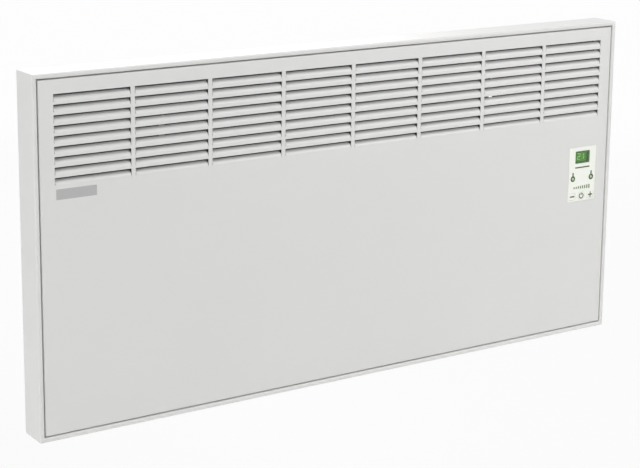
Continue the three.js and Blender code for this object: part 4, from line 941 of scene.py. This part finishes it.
# %% Foil strip
FOIL_MIDDLE = (-395.5, -60.35)
foil_outline = rounded_rectangle(53, 12.7, 0.8, FOIL_MIDDLE)
foil_face = rounded_rectangle(52.8, 12.5, 0.7, FOIL_MIDDLE)
foil = upright([(foil_outline, PANEL_FRONT - 0.01), (foil_outline, PANEL_FRONT - 0.1),
                (foil_face, PANEL_FRONT - 0.15)])
dressed(bare_object("foil_strip", foil), "foil")

# %% [markdown]
# ## The back
#
# The back panel is a plain sheet with two pressed ribs that stiffen it. Each rib is a long shallow
# bulge with round ends: a stack of outlines that shrink along a soft curve. The hollow inside it is
# the same stack one sheet deeper, because pressing doesn't change the thickness. Slots for the
# hooks and holes for gland, bumpers and screws are then cut through.
#
# The inner face of the back panel takes a dark grey in place of the white coat. This is painted
# shade: it makes the slits of the louvres look deep, where behind a white face they would be pale.

# %% Back panel
BACK_FRONT, BACK_REAR = -18.3, -17.3
BACK_SIZE, BACK_CORNER = (896.8, 446.8), 1.5
RIB_SIZE, RIB_HEIGHT, RIB_Z = (300, 16), 1.2, (-101.25, -221.25)
RIB_FLANK, RIB_STEPS, RIB_WALL = 3.2, 6, 0.4  # RIB_WALL is from the rib's outline to its hollow's
OVERLAP = 0.5  # how far before the sheet's face a rib starts, so that no two faces coincide
HOOK_X, HOOK_SLOT_SIZE, HOOK_SLOT_CORNER, HOOK_SLOT_Z = 259, (8, 24.3), 0.5, -7.35
GLAND_AT, GLAND_HOLE = (398.25, -329), 8.4
BUMPER_X, BUMPER_Z, BUMPER_HOLE = 340, -339, 3.3


def rib(base, z, shrink=0.0):
    """A long bulge with round ends that rises from y = base along a soft curve."""
    stack = []
    for step in range(RIB_STEPS + 1):
        t = step / RIB_STEPS
        inset = shrink + RIB_FLANK * t
        rise = RIB_HEIGHT * (3 * t * t - 2 * t**3)
        size = (RIB_SIZE[0] - 2 * inset, RIB_SIZE[1] - 2 * inset)
        outline = rounded_rectangle(*size, size[1] / 2 - END_FLAT, (0, z), steps=10)
        stack.append((outline, base + rise))
    return upright([(stack[0][0], base - OVERLAP)] + stack)


back_outline = rounded_rectangle(*BACK_SIZE, BACK_CORNER, (0, CASE_MIDDLE_Z))
back = bare_object("back_sheet", upright([(back_outline, BACK_FRONT), (back_outline, BACK_REAR)]))
combined(back, merged(*(rib(BACK_REAR, z) for z in RIB_Z)), "UNION")


def back_hole(outline):
    """A cutting body that passes right through the back panel."""
    return upright([(outline, BACK_FRONT - 1), (outline, BACK_REAR + 1)])


hook_slot = rounded_rectangle(*HOOK_SLOT_SIZE, HOOK_SLOT_CORNER)
cutters = [rib(BACK_FRONT, z, RIB_WALL) for z in RIB_Z]
cutters += [moved(back_hole(hook_slot), dx=sign * HOOK_X, dz=HOOK_SLOT_Z) for sign in (-1, 1)]
cutters += [back_hole(circle(GLAND_HOLE, GLAND_AT))]
cutters += [back_hole(circle(BUMPER_HOLE, (sign * BUMPER_X, BUMPER_Z), sides=24))
            for sign in (-1, 1)]
cutters += [back_hole(outline) for outline in screw_holes]
combined(back, merged(*cutters), "DIFFERENCE")
dressed(back, "white_powder_coat", ["back_panel"])
# Painted shade: the faces that look into the case take a dark grey, which darkens the louvres'
# slits.
back.data.materials.append(finishes["painted_shade_grey"])
painted_shade_faces = [face for face in back.data.polygons if face.normal.y < -0.5]
for face in painted_shade_faces:
    face.material_index = 1
print(len(painted_shade_faces), "faces of the back panel are primed only")

# %% [markdown]
# ## Rail, bumpers, gland and screws
#
# The rail is 2 mm sheet, zinc plated, folded forward at both ends, where its hooks stand. It stays
# on the wall when the heater is lifted off, so it rides on the wall mount. The rest is turned: two
# rubber bumpers, the plastic gland for the cable, and six screws with a cross recess in the head.

# %% Wall rail
RAIL_SHEET, RAIL_BEND, RAIL_DEPTH, RAIL_HEIGHT = 2, 2.5, 14, 46
RAIL_HOLE_X, RAIL_HOLE, KEYHOLE, KEYHOLE_DROP = 200, 3, 5.5, 9
HOOK_OUTLINE = [(-12, -4.5), (-22, -4.5), (-22, 13), (-21.6, 14), (-20.5, 14.5), (-19, 14.5),
                (-19, 6), (-18.6, 5), (-17.5, 4.5), (-12, 4.5)]  # (y, z), from the side
rail_path = [(-HOOK_X, -RAIL_DEPTH), (-HOOK_X, -RAIL_SHEET / 2),
             (HOOK_X, -RAIL_SHEET / 2), (HOOK_X, -RAIL_DEPTH)]
rail_section = folded_sheet(rail_path, RAIL_SHEET, RAIL_BEND, steps=10)
rail = bare_object("hook_rail", joined_rings(
    [[(x, y, z) for x, y in rail_section] for z in (-RAIL_HEIGHT / 2, RAIL_HEIGHT / 2)]))
hooks = [joined_rings([[(x, y, z) for y, z in HOOK_OUTLINE]
                       for x in (sign * HOOK_X - RAIL_SHEET / 2, sign * HOOK_X + RAIL_SHEET / 2)])
         for sign in (-1, 1)]
combined(rail, merged(*hooks), "UNION")
for x in (-RAIL_HOLE_X, RAIL_HOLE_X):
    throat = rounded_rectangle(2 * RAIL_HOLE, KEYHOLE_DROP + 2 * RAIL_HOLE, RAIL_HOLE - END_FLAT,
                               (x, 0))
    for outline in (throat, circle(KEYHOLE, (x, -KEYHOLE_DROP / 2), sides=28)):
        combined(rail, upright([(outline, -2 * RAIL_SHEET), (outline, RAIL_SHEET)]), "DIFFERENCE")
dressed(rail, "zinc_plated_steel", ["wall_rail"], body="wall_mount", edge=0.25)

# %% Bumpers, gland and screws
BUMPER_PROFILE = [(2.6, -20.6), (3, -20.2), (4.2, -18.6), (3, -18.5), (3, -17), (8.6, -17),
                  (9, -16.6), (8, -1), (7.2, -0.25), (6.4, 0)]
for side_name, sign in (("left", -1), ("right", 1)):
    bumper = turned(BUMPER_PROFILE, (sign * BUMPER_X, BUMPER_Z), sides=48)
    dressed(bare_object(f"{side_name}_bumper", bumper), "rubber", [f"wall_bumper_{side_name}"],
            edge=0.3, sharp=50)

GLAND_PROFILE = [(4, -27.3), (7.6, -27.3), (8, -26.9), (8, -17), (11, -17), (11, -14.9),
                 (10.6, -14.5), (8.6, -12.2), (7.2, -10.4), (6.4, -10), (4.4, -10), (4, -10.4)]
gland = joined_rings([[(x, y, z) for x, z in circle(r, GLAND_AT)] for r, y in GLAND_PROFILE],
                     closed=True)
dressed(bare_object("cable_inlet", gland), slot_of["cable_gland"], ["cable_gland"])

SCREW_PROFILE = [(0.6, -22.7), (1.6, -21.1), (1.6, -15.7), (3.2, -15.7), (3.4, -15.5),
                 (3.3, -14.9), (2.9, -14.2), (2.2, -13.75), (1.2, -13.5)]
RECESS_SIZES, RECESS_FLOOR, RECESS_MOUTH = ((3.2, 0.7), (0.7, 3.2)), -14.9, -13
RECESS_FLARE = 0.3  # how much wider each slot of the cross is at its mouth
for number, place in enumerate(screw_places, 1):
    screw = bare_object(f"screw_{number}", turned(SCREW_PROFILE, place, sides=32))
    for w, h in RECESS_SIZES:
        deep = rounded_rectangle(w, h, 0.1, place, steps=2)
        wide = rounded_rectangle(w + RECESS_FLARE, h + RECESS_FLARE, 0.2, place, steps=2)
        combined(screw, upright([(deep, RECESS_FLOOR), (wide, RECESS_MOUTH)]), "DIFFERENCE")
    dressed(screw, "zinc_plated_steel", [f"back_screw_{number}"])

# %% [markdown]
# ## Light, floor and background
#
# The photograph was taken in even, soft light on white. The world gives that light from all sides;
# the camera, reflections and glass see it as plain white. A louvre shows its curve best in light
# from the front, because its upper edge then lies in shade. So the largest share comes from one
# lamp in front, on the right. Weaker ones on the left, above and behind model the side, the top and
# the back. The lamps are set so that a white surface renders about as written.
#
# The floor is pale, far below the heater, as a room's floor would be. For the camera it is mostly
# plain white, but part of it stays a real surface, so that it keeps the heater's shadow.

# %% World
WORLD_LIGHT = 0.2
world = bpy.data.worlds.new("soft_studio")
world.use_nodes = True
bpy.context.scene.world = world
sky_tree = world.node_tree
ray = add_node(sky_tree, "ShaderNodeLightPath").outputs
seen = add_node(sky_tree, "ShaderNodeMath", {"operation": "MAXIMUM"},
                {0: ray["Is Camera Ray"], 1: ray["Is Glossy Ray"]})
seen = add_node(sky_tree, "ShaderNodeMath", {"operation": "MAXIMUM"},
                {0: seen.outputs[0], 1: ray["Is Transmission Ray"]})
sky_strength = add_node(sky_tree, "ShaderNodeMapRange", None,
                        {"Value": seen.outputs[0], "To Min": WORLD_LIGHT, "To Max": 1.0})
sky = sky_tree.nodes["Background"]
sky.inputs["Color"].default_value = linear("#FFFFFF")
sky_tree.links.new(sky_strength.outputs["Result"], sky.inputs["Strength"])
print("the world lights the heater at", WORLD_LIGHT)

# %% Lamps
LAMPS = {  # name: (place, width of the disc), both in metres, and watts
    "key_right": ((1.6, -2.2, 0.85), 1.2, 33),
    "fill_left": ((-2.4, -0.6, 0.2), 1.4, 23),
    "overhead": ((0.0, -0.2, 2.2), 1.6, 26),
    "behind": ((0.9, 2.1, 0.9), 1.4, 15),
}
LAMP_TARGET = Vector((0, -0.04, -0.14))  # the middle of the heater
for name, (place, size, watts) in LAMPS.items():
    light = bpy.data.lights.new(name, "AREA")
    light.energy, light.size, light.shape = watts, size, "DISK"
    lamp = add_object(name, light)
    lamp.location = place
    lamp.rotation_euler = (LAMP_TARGET - Vector(place)).to_track_quat("-Z", "Y").to_euler()
print("lamps:", ", ".join(LAMPS))

# %% Floor
FLOOR_DROP, FLOOR_REACH = 320, 15  # millimetres below the case, and metres to each side
WHITE_NEAR, WHITE_FAR, FAR = 0.8, 0.98, 3.5  # share of plain white near the heater, and at FAR m
floor_material, tree, shader, place = start_finish("pale_studio_floor", "#F4F4F4", 0.6)
mottle = add_node(tree, "ShaderNodeTexNoise", None, {"Vector": place, "Scale": per_metre(400)})
vary(tree, shader, mottle.outputs["Fac"], ("#F3F3F3", "#F6F6F6"), (0.55, 0.65))
ray = add_node(tree, "ShaderNodeLightPath").outputs
white = add_node(tree, "ShaderNodeEmission", None, {"Color": linear("#FFFFFF"), "Strength": 1.0})
away = add_node(tree, "ShaderNodeVectorMath", {"operation": "LENGTH"}, {0: place})
plain = add_node(tree, "ShaderNodeMapRange", None,
                 {"Value": away.outputs["Value"], "From Max": FAR,
                  "To Min": WHITE_NEAR, "To Max": WHITE_FAR})
share = add_node(tree, "ShaderNodeMath", {"operation": "MULTIPLY"},
                 {0: ray["Is Camera Ray"], 1: plain.outputs["Result"]})
mix = add_node(tree, "ShaderNodeMixShader", None,
               {0: share.outputs[0], 1: shader.outputs[0], 2: white.outputs[0]})
tree.links.new(mix.outputs[0], tree.nodes["Material Output"].inputs["Surface"])

floor_mesh = bpy.data.meshes.new("studio_floor")
floor_level = (floor_z - FLOOR_DROP) * MM
floor_corners = [(x * FLOOR_REACH, y * FLOOR_REACH, floor_level) for x, y in CORNER_SIGNS]
floor_mesh.from_pydata(floor_corners, [], [(0, 1, 2, 3)])
floor_mesh.materials.append(floor_material)
floor = add_object("studio_floor", floor_mesh)
bpy.context.scene.view_settings.view_transform = "Standard"
print("floor at z =", round(floor_level, 3), "m")
